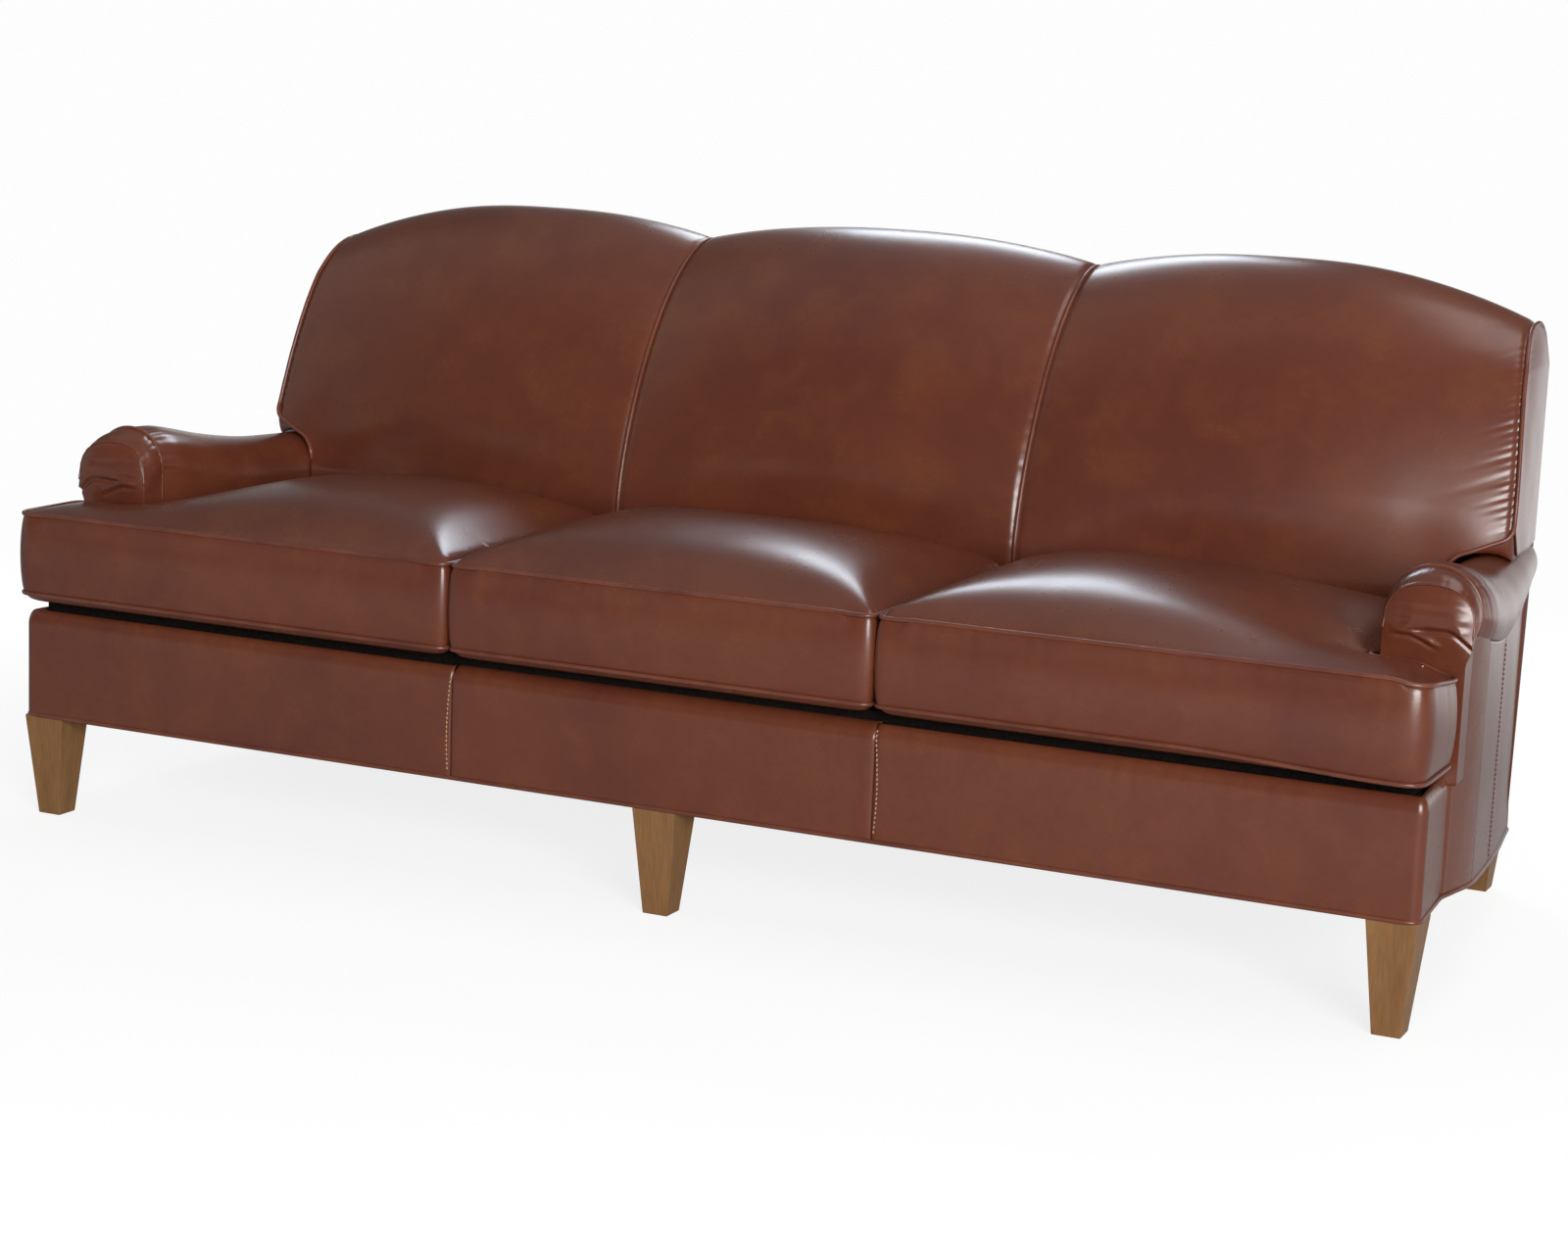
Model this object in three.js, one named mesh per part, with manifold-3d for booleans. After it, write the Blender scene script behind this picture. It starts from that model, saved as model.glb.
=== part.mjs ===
// Three-seat camelback sofa: a tight back of three humps, low roll arms and three loose seat cushions.
// Millimetres, +Z up, the seat faces -Y. Depths y are measured from the front of the rail, then centred.
import * as THREE from "three";
import { mergeVertices } from "three/addons/utils/BufferGeometryUtils.js";
import Module from "manifold-3d";

const wasm = await Module();
wasm.setup();

// Driving sizes
const railLength = 2200; // front rail cover, end to end
const legHeight = 158.6; // floor to hem at the front
const frameHeight = 153.4; // hem to the top of the seat rails
const seatDepth = 500; // rail front to inside back at the valleys
const backLean = 300; // how far the top of the back lies behind its seat line
const topDepth = 60; // top of the back to the outside back
const backHeight = 755.4; // hem to the top of the valleys
const armHeight = 443.4; // hem to the top of the roll at the front
const gap = 0.3; // between pieces that touch

// Hem and sides of the body
const hemDrop = 61.6; // the side hem sweeps down to the back legs
const hemStart = 200;
const hemPower = 1.2;
const railEndTuck = 9;
const sideProud = 6; // outside arm panel beyond the rail cover
const sideTaper = 75; // the body narrows to the rear
const sidePower = 1.2;

// Arms
const armSetback = 152; // rail front to arm front
const armWidth = 136;
const innerTaper = 17; // the inside of the arm runs inwards to the back
const rollProud = 8; // roll beyond the outside panel
const armDip = 52; // roll top drops to the rear
const armDipLength = 215;
const facingDepth = 43; // arm front facing
const stripLength = 67; // strip of the facing that turns round to the outside panel
const armRailWidth = 40;
const armRailThickness = 24;
const armRailSink = 2; // arm rail top below the middle of the roll
const seamSink = 2; // outside panel's top seam below the arm rail
const armWall = 14; // padding on the inside of the arm
const sidePanelThickness = 10;
const armPostDepth = 32;
const armPostWidth = 34;

// Back
const valleyX = 335; // centre line to a valley welt
const endSetback = 90; // the face at the ends lies behind the face at the valleys
const seatLineRise = 187; // hem frame top to the seat line of the back
const centreHump = 34;
const outerHump = 32;
const endDrop = 74; // hump top to the end of the back's top line
const humpPeakShare = 0.446;
const humpPower = 2.3;
const endPower = 2;
const leanShares = [0.66, 0.55]; // part of the lean that builds up with height, at the valley and at the end
const leanPowers = [1.6, 1]; // the back stands upright above the seat at the valleys and leans evenly at the ends
const roundPower = 6;
const bulge = 26; // crown of each back panel
const bulgePower = 2.2;
const bulgeRiseShare = 0.3;
const topDrop = 40; // rounding of the top towards the rear
const lipDrop = 70; // top line to the seam with the outside back
const lipEase = 0.9; // seam between the lip and the outside back
const lipThickness = 14;
const topRailCover = 34; // padding over the top rail
const topRailEase = 2; // between the top rail and the padding over it
const topRailThickness = 28;
const padFoot = 120; // thickness of the back padding at the deck
const padHead = 12; // slot for the top rail to the rear of the padding
const outsideBackThickness = 10;
const wingInset = 14; // lower wing corner inside the outside arm panel
const wingTuck = 32; // the end welt leans in to the top
const wingPower = 1.8;
const wingLift = 36; // lower wing corner above the roll
const wingRise = 61; // lower edge of the wing climbs from the inside of the arm
const wingRisePower = 0.6;
const wingSeat = 2;
const wingRearTuck = 2;
const wingEase = 1.2; // between the pad and the end panel
const endPanelThickness = 8;

// Frame
const boardThickness = 28;
const railCoverThickness = 12;
const railCoverTop = 12; // rail cover above the seat rails
const railCoverRound = 24;
const railCoverWrap = 26;
const railCorner = 14;
const sideRailTuck = 28;
const seatBackRailSetback = 50; // seat line at the ends to the seat's back rail
const stretcherDrop = 32;
const blockSize = 90;
const blockHeight = 60;
const uprightWidth = 28;
const uprightDepth = 46;
const topRailHeight = 90; // valley line to the bottom of the top rail, less its cover
const dustThickness = 1.7;
const dustInset = 15;

// Seat
const wireSize = 4;
const springWaves = 6;
const springWidth = 90;
const springSpacingShare = 0.335; // of the seat's width
const springReach = 11; // spring end past the edge of its rail, behind the rail cover
const deckThickness = 21;
const deckTuck = 12;
const cushionProud = 19.7; // cushion front ahead of the rail
const boxingHeight = 121.6;
const belly = 16; // rounding of the cushion's underside
const crown = 74;
const crownReach = 230; // distance from the welt over which the crown rises
const crownFallShare = 0.7; // the crown sinks towards the ears
const crownFallStart = 560;
const earInset = 1.3; // ear end inside the rail cover's end
const earClearance = 9; // ear to arm front
const cushionSpacing = 2.4;
const cushionArmGap = 4;
const cushionBackGap = 9;
const weltBulge = 3.5;
const boxingBulge = 5;
const weltHeight = 9;
const cornerRound = 30;
const tightRound = 14;
const coreInset = 38;
const coreHeight = 118;
const zipLength = 420;
const zipHeight = 8;

// Legs
const legTop = 69;
const legFoot = 39;
const backLegRake = 38;
const backLegInset = 8;

// Levels and places worked out from them
const halfLength = railLength / 2;
const hemZ = legHeight;
const woodTop = hemZ + frameHeight;
const deckBottom = woodTop + gap + wireSize + gap;
const deckTop = deckBottom + deckThickness;
const sideFront = halfLength + sideProud;
const facingEnd = armSetback + facingDepth;
const stripEnd = facingEnd + stripLength;
const endFaceY = seatDepth + endSetback;
const ridgeY = seatDepth + backLean;
const rearY = ridgeY + topDepth;
const bodyEnd = rearY - outsideBackThickness - gap;
const armTopFront = hemZ + armHeight;
const armTopRear = armTopFront - armDip;
const valleyTop = hemZ + backHeight;
const seatLine = woodTop + seatLineRise;
const outerTop = valleyTop + outerHump;
const endTop = outerTop - endDrop;
const innerFront = sideFront + rollProud - armWidth;
const dustTop = gap + dustThickness;
const frameInset = dustTop + gap;
const shareSteps = (count) => Array.from({ length: count + 1 }, (_, i) => i / count);
const clamp = (v, low, high) => Math.min(high, Math.max(low, v));
const mix = (a, b, t) => a + (b - a) * t;
const smooth = (t) => clamp(t, 0, 1) ** 2 * (3 - 2 * clamp(t, 0, 1));

// Depths of the sections of the long pieces; the body's curves run straight between them
const depthStations = [
  ...shareSteps(2).map((t) => armSetback * t),
  ...shareSteps(5).map((t) => mix(armSetback, stripEnd, t)),
  ...shareSteps(9).map((t) => mix(stripEnd, rearY, t)),
].filter((v, i, all) => v !== all[i - 1]);
const along = (y0, y1) => [y0, ...depthStations.filter((v) => v > y0 + gap && v < y1 - gap), y1];
const straightened = (curve) => (y) => {
  const k = depthStations.findIndex((v) => v >= y);
  if (k < 1) return curve(y);
  const [a, b] = [depthStations[k - 1], depthStations[k]];
  return mix(curve(a), curve(b), (y - a) / (b - a));
};

// Outside of the body: half its width at depth y
const sideAt = straightened((y) => {
  if (y < armSetback) return halfLength - (railEndTuck * Math.max(y, 0)) / armSetback;
  if (y < stripEnd) {
    const turn = Math.sin((Math.PI / 2) * ((y - armSetback) / (stripEnd - armSetback)));
    return mix(halfLength - railEndTuck, sideFront, turn);
  }
  return sideFront - sideTaper * clamp((y - stripEnd) / (rearY - stripEnd), 0, 1) ** sidePower;
});

// Lower edge of the body at depth y
const hemAt = straightened(
  (y) => hemZ - hemDrop * clamp((y - hemStart) / (rearY - hemStart), 0, 1) ** hemPower,
);

// Roll of the arm at depth y: inside face, middle, radius and height
const armInnerAt = straightened(
  (y) => innerFront - innerTaper * clamp((y - armSetback) / (endFaceY - armSetback), 0, 1),
);
const armTopAt = straightened(
  (y) => armTopRear + armDip * Math.exp(-(((y - armSetback) / armDipLength) ** 2)),
);
function rollAt(y) {
  const inner = armInnerAt(y);
  const outer = sideAt(Math.max(y, stripEnd)) + rollProud;
  const top = armTopAt(y);
  const r = (outer - inner) / 2;
  return { inner, outer, r, x: (inner + outer) / 2, z: top - r, top };
}

// Top line of the back at distance x from the centre
const topEndX = sideAt(endFaceY) - wingInset - wingTuck;
function topAt(x) {
  const a = Math.abs(x);
  if (a <= valleyX) return valleyTop + centreHump * (1 - (a / valleyX) ** humpPower);
  const peak = mix(valleyX, topEndX, humpPeakShare);
  if (a < peak) return outerTop - outerHump * ((peak - a) / (peak - valleyX)) ** humpPower;
  return outerTop - endDrop * clamp((a - peak) / (topEndX - peak), 0, 1) ** endPower;
}

// Distances across the back at which its sections stand, with one at each valley
function acrossBack(reach) {
  const half = [
    ...shareSteps(7).map((t) => valleyX * t),
    ...shareSteps(13).map((t) => mix(valleyX, reach, t)).slice(1),
  ];
  return [...half.slice(1).map((x) => -x).reverse(), ...half];
}

// End welt of the back: distance from the centre at height z
const wingLow = armTopRear + wingLift;
function endXAt(z) {
  return topEndX + wingTuck * (1 - clamp((z - wingLow) / (endTop - wingLow), 0, 1) ** wingPower);
}

// Side of the back at depth y and height z: it draws in to the width of the body at the rear
function wingAt(y, z) {
  const share = clamp((y - endFaceY) / (bodyEnd - endFaceY), 0, 1);
  return mix(endXAt(z), Math.min(endXAt(z), sideAt(bodyEnd) + wingRearTuck), share);
}

// Inside back: depth of its face at height z, for a panel share across (0 at a valley, 1 at the end)
function faceAt(across, bow, z, top) {
  const w = clamp((z - seatLine) / (top - seatLine), 0, 1);
  const foot = mix(seatDepth, endFaceY, across);
  const straight = mix(leanShares[0], leanShares[1], across);
  const power = mix(leanPowers[0], leanPowers[1], across);
  const rounded = 1 - Math.sqrt(1 - w ** roundPower);
  const lean = straight * w ** power + (1 - straight) * rounded;
  const out = bulge * (1 - Math.abs(bow) ** bulgePower) * smooth(w / bulgeRiseShare) * (1 - w ** 4);
  return mix(foot, ridgeY, lean) - out;
}

// Closed solid through sections of equally many points; flat names the two axes that show an end
function loft(sections, flat, flatLast = flat) {
  const n = sections[0].length;
  const positions = sections.flat(2);
  const index = [];
  sections.slice(1).forEach((_, k) => {
    for (let i = 0; i < n; i++) {
      const a = k * n + i;
      const b = k * n + ((i + 1) % n);
      index.push(a, b, b + n, a, b + n, a + n);
    }
  });
  const cap = (section, start, front, [i, j]) => {
    const outline = section.map((p) => new THREE.Vector2(p[i], p[j]));
    const turn = Math.sign(THREE.ShapeUtils.area(outline));
    for (const [a, b, c] of THREE.ShapeUtils.triangulateShape(outline, [])) {
      const same = Math.sign(THREE.ShapeUtils.area([outline[a], outline[b], outline[c]])) === turn;
      const t = same === front ? [a, c, b] : [a, b, c];
      index.push(...t.map((v) => v + start));
    }
  };
  cap(sections[0], 0, true, flat);
  cap(sections.at(-1), (sections.length - 1) * n, false, flatLast);
  return facingOut(positions, index);
}

// Geometry from points and triangles, turned so that its faces point outwards
function facingOut(positions, index) {
  let volume = 0;
  const at = (i) => new THREE.Vector3().fromArray(positions, 3 * i);
  for (let i = 0; i < index.length; i += 3)
    volume += at(index[i]).dot(at(index[i + 1]).cross(at(index[i + 2])));
  if (volume < 0)
    for (let i = 0; i < index.length; i += 3)
      [index[i + 1], index[i + 2]] = [index[i + 2], index[i + 1]];
  const geometry = new THREE.BufferGeometry();
  geometry.setAttribute("position", new THREE.Float32BufferAttribute(positions, 3));
  geometry.setIndex(index);
  return geometry;
}

// manifold-3d solids for joins and cuts
function toSolid(geometry) {
  const bare = new THREE.BufferGeometry().setAttribute("position", geometry.getAttribute("position"));
  bare.setIndex(geometry.index);
  const merged = mergeVertices(bare, gap / 1e3);
  return new wasm.Manifold(
    new wasm.Mesh({
      numProp: 3,
      vertProperties: merged.attributes.position.array,
      triVerts: new Uint32Array(merged.index.array),
    }),
  );
}

function toGeometry(solid) {
  const mesh = solid.getMesh();
  const geometry = new THREE.BufferGeometry();
  geometry.setAttribute("position", new THREE.Float32BufferAttribute(mesh.vertProperties, 3));
  geometry.setIndex(new THREE.BufferAttribute(mesh.triVerts, 1));
  return geometry;
}

// Upright prism over a plan outline
function prism(outline, low, high) {
  return loft([low, high].map((z) => outline.map(([x, y]) => [x, y, z])), [0, 1]);
}

// Materials
const finish = (color, roughness) => new THREE.MeshStandardMaterial({ color, roughness, metalness: 0 });
const leather = () => finish(0x5c2a1e, 0.38);
const hardwood = () => finish(0xb58a5a, 0.7);
const legWood = () => finish(0x7a5730, 0.45);
const steel = () => new THREE.MeshStandardMaterial({ color: 0x8d9095, roughness: 0.35, metalness: 1 });
const lining = () => finish(0x1d1b1a, 0.95);
const foam = () => finish(0xe9ddb8, 0.95);
const felt = () => finish(0x8a7a66, 0.95);

const sofa = new THREE.Group();
const body = new THREE.Group();
sofa.add(body);
function piece(name, geometry, material) {
  const mesh = new THREE.Mesh(geometry, material);
  mesh.name = name;
  body.add(mesh);
}

// The same geometry on the other side of the centre line
function mirrored(geometry) {
  const positions = Array.from(geometry.getAttribute("position").array, (v, i) => (i % 3 ? v : -v));
  return facingOut(positions, Array.from(geometry.index.array));
}
function pair(name, geometry, material) {
  piece(name + "_right", geometry, material());
  piece(name + "_left", mirrored(geometry), material());
}

// Seat frame: rails, stretchers and corner blocks
const frontBoardY = railCoverThickness + gap;
const frontBoardEnd = frontBoardY + boardThickness;
const backBoardEnd = bodyEnd - gap;
const backBoardY = backBoardEnd - boardThickness;
const seatBackY = endFaceY + seatBackRailSetback;
const seatBackEnd = seatBackY + boardThickness;
const sideRailStart = frontBoardEnd + gap;
const sideRailEnd = backBoardY - gap;
const railOutFront = halfLength - sideRailTuck;
const railOutBack = sideAt(backBoardEnd) - sidePanelThickness - gap;
const sideRailOut = (y) =>
  mix(railOutFront, railOutBack, (y - sideRailStart) / (sideRailEnd - sideRailStart));
const sideRailIn = (y) => sideRailOut(y) - boardThickness;
const frameLow = (y) => hemAt(y) + frameInset;

// Board across the sofa, with its lower edge along the hem
function crossBoard(y0, y1, reach, top) {
  const section = (x) => [
    [x, y0, frameLow(y0)],
    [x, y1, frameLow(y1)],
    [x, y1, top],
    [x, y0, top],
  ];
  return loft([section(-reach), section(reach)], [1, 2]);
}
piece("front_rail", crossBoard(frontBoardY, frontBoardEnd, railOutFront, woodTop), hardwood());
piece("rear_rail", crossBoard(backBoardY, backBoardEnd, railOutBack, woodTop), hardwood());
piece(
  "seat_back_rail",
  crossBoard(seatBackY, seatBackEnd, sideRailIn(seatBackEnd) - gap, woodTop),
  hardwood(),
);

// Board from front to rear, with its lower edge along the hem
function longBoard(y0, y1, inner, outer, top) {
  return loft(
    along(y0, y1).map((y) => {
      const low = frameLow(y);
      return [
        [inner(y), y, low],
        [outer(y), y, low],
        [outer(y), y, top],
        [inner(y), y, top],
      ];
    }),
    [0, 2],
  );
}
pair("side_rail", longBoard(sideRailStart, sideRailEnd, sideRailIn, sideRailOut, woodTop), hardwood);
const stretcherIn = () => valleyX - boardThickness / 2;
const stretcherOut = () => valleyX + boardThickness / 2;
const stretcherTop = woodTop - stretcherDrop;
pair(
  "seat_stretcher",
  longBoard(sideRailStart, seatBackY - gap, stretcherIn, stretcherOut, stretcherTop),
  hardwood,
);

function cornerBlock(y, far) {
  const low = Math.max(frameLow(y), frameLow(far));
  const outline = [
    [sideRailIn(y) - gap, y],
    [sideRailIn(far) - gap, far],
    [sideRailIn(y) - gap - blockSize, y],
  ];
  return prism(outline, low, low + blockHeight);
}
pair("front_corner_block", cornerBlock(sideRailStart, sideRailStart + blockSize), hardwood);
pair("rear_corner_block", cornerBlock(sideRailEnd, sideRailEnd - blockSize), hardwood);

// Arm frame: posts on the side rail and a rail inside the roll
const armRailTop = (roll) => roll.z - armRailSink;
const armRailBottom = (roll) => armRailTop(roll) - armRailThickness;
const armRailStart = facingEnd + gap;
const armRailEnd = bodyEnd - gap;
pair(
  "arm_rail",
  loft(
    along(armRailStart, armRailEnd).map((y) => {
      const roll = rollAt(y);
      return [
        [roll.x - armRailWidth / 2, y, armRailBottom(roll)],
        [roll.x + armRailWidth / 2, y, armRailBottom(roll)],
        [roll.x + armRailWidth / 2, y, armRailTop(roll)],
        [roll.x - armRailWidth / 2, y, armRailTop(roll)],
      ];
    }),
    [0, 2],
  ),
  hardwood,
);
function armPost(y) {
  const ends = [y, y + armPostDepth];
  const top = Math.min(...ends.map((v) => armRailBottom(rollAt(v)))) - gap;
  const outline = [
    [rollAt(y).x - armPostWidth / 2, ends[0]],
    [rollAt(y).x + armPostWidth / 2, ends[0]],
    [rollAt(y).x + armPostWidth / 2, ends[1]],
    [rollAt(y).x - armPostWidth / 2, ends[1]],
  ];
  return prism(outline, woodTop + gap, top);
}
pair("arm_post_front", armPost(armRailStart), hardwood);
pair("arm_post_rear", armPost(sideRailEnd - armPostDepth), hardwood);

// Back frame: leaning uprights on the seat's back rail and a top rail cut to the humps
const topRailEnd = rearY - lipThickness - gap;
const topRailY = topRailEnd - topRailThickness;
const topRailLow = valleyTop - topRailCover - topRailHeight;
const padHeadY = topRailY - padHead;
const padFootY = seatDepth + padFoot;
const padFootZ = deckTop + gap;
const padHeadZ = endTop - lipDrop;
const padRearAt = (z) => mix(padFootY, padHeadY, (z - padFootZ) / (padHeadZ - padFootZ));
function upright(x) {
  const low = woodTop + gap;
  const high = topRailLow - gap;
  const section = (y, z) => [
    [x - uprightWidth / 2, y, z],
    [x + uprightWidth / 2, y, z],
    [x + uprightWidth / 2, y + uprightDepth, z],
    [x - uprightWidth / 2, y + uprightDepth, z],
  ];
  return loft([section(seatBackY, low), section(padRearAt(high) + gap, high)], [0, 1]);
}
const padEndX = rollAt(endFaceY).inner - cushionArmGap;
pair("back_upright", upright(valleyX), hardwood);
pair("back_post", upright(padEndX - uprightWidth), hardwood);
const topRailReach = topEndX - endPanelThickness - railCorner;
piece(
  "back_top_rail",
  loft(
    acrossBack(topRailReach).map((x) => {
      const top = topAt(x) - topRailCover - topRailEase;
      return [
        [x, topRailY, topRailLow],
        [x, topRailEnd, topRailLow],
        [x, topRailEnd, top],
        [x, topRailY, top],
      ];
    }),
    [1, 2],
  ),
  hardwood(),
);

// Seat springs: zigzag wires from the front rail to the seat's back rail
function zigzag(x) {
  const z = woodTop + gap + wireSize / 2;
  const start = frontBoardEnd - springReach;
  const length = seatBackY + springReach - start;
  const path = [[x, start]];
  for (let i = 0; i < 2 * springWaves; i++) {
    const side = x + (i % 2 ? -springWidth : springWidth) / 2;
    const step = length / (2 * springWaves + 1);
    path.push([side, start + step * (i + 0.5)], [side, start + step * (i + 1.3)]);
  }
  path.push([x, start + length]);
  const points = path.map(([px, py]) => new THREE.Vector2(px, py));
  return loft(
    points.map((p, i) => {
      const before = p.clone().sub(points[Math.max(i - 1, 0)]).normalize();
      const after = points[Math.min(i + 1, points.length - 1)].clone().sub(p).normalize();
      const along = before.add(after).normalize();
      const half = wireSize / 2;
      const [nx, ny] = [-along.y * half, along.x * half];
      return [
        [p.x + nx, p.y + ny, z - half],
        [p.x - nx, p.y - ny, z - half],
        [p.x - nx, p.y - ny, z + half],
        [p.x + nx, p.y + ny, z + half],
      ];
    }),
    [0, 2],
  );
}
const armInner = rollAt(seatDepth).inner;
const springSeats = [
  ["left", -armInner, -valleyX],
  ["centre", -valleyX, valleyX],
  ["right", valleyX, armInner],
];
for (const [seat, from, to] of springSeats)
  for (const k of [-1, 0, 1]) {
    const x = (from + to) / 2 + k * springSpacingShare * (to - from);
    piece("seat_spring_" + seat + "_" + (k + 2), zigzag(x), steel());
  }

// Deck pad, wider in front of the arms
const deckReach = sideAt(armSetback) - railCoverThickness - gap - weltBulge;
const deckFront = railCoverWrap + gap;
const deckWing = armSetback - gap;
const deckEnd = seatBackY - gap;
const deckHalf = [
  [deckReach, deckFront],
  [deckReach, deckWing],
  [rollAt(armSetback).inner - gap, deckWing],
  [rollAt(facingEnd).inner - gap, facingEnd + gap],
  [rollAt(facingEnd).inner + deckTuck, facingEnd + gap],
  [rollAt(deckEnd).inner + deckTuck, deckEnd],
];
const deckOutline = [...deckHalf, ...deckHalf.map(([x, y]) => [-x, y]).reverse()];
piece("seat_deck_pad", prism(deckOutline, deckBottom, deckTop), felt());

// Front rail cover: a section with a rounded top carried along the front and round the ends
const coverShares = [0, 0.25, 0.5, 0.75, 1];
function coverSection([px, py], [dx, dy], wrap) {
  const top = woodTop + railCoverTop;
  const round = Math.min(railCoverRound, wrap);
  const point = (d, z) => [px + dx * d, py + dy * d, z];
  const arc = coverShares.map((s) => {
    const turn = (Math.PI / 2) * s;
    return point(round * (1 - Math.cos(turn)), top - railCoverRound * (1 - Math.sin(turn)));
  });
  return [
    point(0, hemZ),
    ...arc,
    point(wrap, top - gap),
    point(wrap, woodTop + gap),
    point(railCoverThickness, woodTop + gap),
    point(railCoverThickness, hemZ),
  ];
}
const front = [0, 1];
const wrapEnd = railCoverThickness + gap;
const coverCentre = [-1, 1].map((s) => coverSection([s * (valleyX - gap / 2), 0], front, railCoverWrap));
piece("rail_cover_centre", loft(coverCentre, [1, 2]), leather());
const cornerX = halfLength - railCorner;
const cornerStations = shareSteps(4).map((t) => {
  const turn = (Math.PI / 2) * t;
  const out = [Math.sin(turn), -Math.cos(turn)];
  const point = [cornerX + railCorner * out[0], railCorner + railCorner * out[1]];
  return coverSection(point, [-out[0], -out[1]], wrapEnd);
});
const coverSide = coverSection([sideAt(armSetback), armSetback - gap], [-1, 0], wrapEnd);
const coverOuter = [
  coverSection([valleyX + gap / 2, 0], front, railCoverWrap),
  coverSection([cornerX - 2 * railCorner, 0], front, railCoverWrap),
  ...cornerStations,
  coverSide,
];
const cover = loft(coverOuter, [1, 2], [0, 2]);
pair("rail_cover", cover, leather);

// Padded roll and inside of the arm, open below round the arm rail
const seamZ = (roll) => armRailBottom(roll) - seamSink;
function rollOutline(roll, y, steps) {
  const drop = roll.z - seamZ(roll) - gap;
  const start = -Math.asin(clamp(drop / roll.r, -1, 1));
  return shareSteps(steps).map((t) => {
    const turn = mix(start, Math.PI, t);
    return [roll.x + roll.r * Math.cos(turn), y, roll.z + roll.r * Math.sin(turn)];
  });
}
pair(
  "arm_pad",
  loft(
    along(armRailStart, bodyEnd - gap).map((y) => {
      const roll = rollAt(y);
      const slot = armRailWidth / 2 + gap;
      const low = deckTop + gap;
      return [
        ...rollOutline(roll, y, 12),
        [roll.inner, y, low],
        [roll.inner + armWall, y, low],
        [roll.inner + armWall, y, armRailBottom(roll) - seamSink],
        [roll.x - slot, y, armRailBottom(roll)],
        [roll.x - slot, y, armRailTop(roll) + gap],
        [roll.x + slot, y, armRailTop(roll) + gap],
        [roll.x + slot, y, seamZ(roll) + gap],
      ];
    }),
    [0, 2],
  ),
  leather,
);

// Facing: the rounded front of the arm and the strip that runs down beside the rail cover
const facingShares = [[0, 0.8], [0.07, 0.9], [0.25, 0.97], [0.55, 1], [1, 1]];
const facingBlock = loft(
  facingShares.map(([t, size]) => {
    const y = mix(armSetback, facingEnd, t);
    const roll = rollAt(y);
    const edge = roll.r * (1 - size);
    const low = woodTop + gap;
    const arc = shareSteps(14).map((s) => {
      const turn = Math.PI * s;
      return [roll.x + roll.r * size * Math.cos(turn), y, roll.z + roll.r * size * Math.sin(turn)];
    });
    return [...arc, [roll.inner + edge, y, low], [sideAt(y) - sidePanelThickness, y, low]];
  }),
  [0, 2],
);
const strip = loft(
  along(armSetback, stripEnd).map((y) => {
    const out = sideAt(y);
    const top = seamZ(rollAt(stripEnd));
    return [
      [out - sidePanelThickness, y, hemAt(y)],
      [out, y, hemAt(y)],
      [out, y, top],
      [out - sidePanelThickness, y, top],
    ];
  }),
  [0, 2],
);
pair("arm_facing", toGeometry(toSolid(facingBlock).add(toSolid(strip))), leather);

// Outside arm panel, from the strip to the rear
pair(
  "outside_arm",
  loft(
    along(stripEnd + gap, bodyEnd).map((y) => {
      const out = sideAt(y);
      return [
        [out - sidePanelThickness, y, hemAt(y)],
        [out, y, hemAt(y)],
        [out, y, seamZ(rollAt(y))],
        [out - sidePanelThickness, y, seamZ(rollAt(y))],
      ];
    }),
    [0, 2],
  ),
  leather,
);

// Back pads: the face, the roll over the top rail, and the lip over the outside back
const faceShares = [0, 0.16, 0.28, 0.36, 0.46, 0.57, 0.68, 0.78, 0.86, 0.925, 0.97, 1];
const overShares = [0.25, 0.5, 0.75, 1];
function padSection(xAt, across, bow, low, rearLow) {
  const top = topAt(xAt(ridgeY, endTop));
  const at = (y, z) => [xAt(y, z), y, z];
  const face = faceShares.map((s) => at(faceAt(across, bow, mix(low, top, s), top), mix(low, top, s)));
  const over = overShares.map((s) => {
    const turn = (Math.PI / 2) * s;
    return at(ridgeY + topDepth * Math.sin(turn), top - topDrop * (1 - Math.cos(turn)));
  });
  return [
    ...face,
    ...over,
    at(rearY, top - lipDrop),
    at(rearY - lipThickness, top - lipDrop),
    at(rearY - lipThickness, top - topRailCover),
    at(topRailY - gap, top - topRailCover),
    at(padHeadY, padHeadZ),
    at(padRearAt(rearLow), rearLow),
  ];
}
const padLow = deckTop + gap;
const padInner = valleyX + gap / 2;
const centrePad = loft(
  shareSteps(14).map((t) => {
    const x = mix(gap / 2 - valleyX, valleyX - gap / 2, t);
    return padSection(() => x, 0, 2 * t - 1, padLow, padLow);
  }),
  [1, 2],
);
piece("back_pad_centre", centrePad, leather());

// Height of the roll under the wing at distance x
function wingSeatAt(x) {
  const heights = shareSteps(4).map((t) => {
    const roll = rollAt(mix(endFaceY, bodyEnd, t));
    return roll.z + Math.sqrt(Math.max(roll.r ** 2 - (x - roll.x) ** 2, 0));
  });
  return Math.max(...heights) + wingSeat;
}
const wingEdge = (y, z) => wingAt(y, z) - endPanelThickness - wingEase;
const wingShare = (x) => (x - padInner) / (wingEdge(endFaceY, wingLow) - padInner);
const lowerEnd = wingShare(padEndX - gap);
const outerShares = [0, 0.05, 0.13, 0.23, 0.34, 0.46, 0.58, 0.7, 0.8, 0.88, 0.96, 1];
const padStations = outerShares.map((s) => ({ s: s * lowerEnd, wing: false }));
const wingShares = [0, 0.2, 0.45, 0.72, 1];
const wingStart = wingShare(rollAt(endFaceY).inner - gap);
for (const s of wingShares) padStations.push({ s: mix(wingStart, 1, s), wing: true, rise: s });
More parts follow.
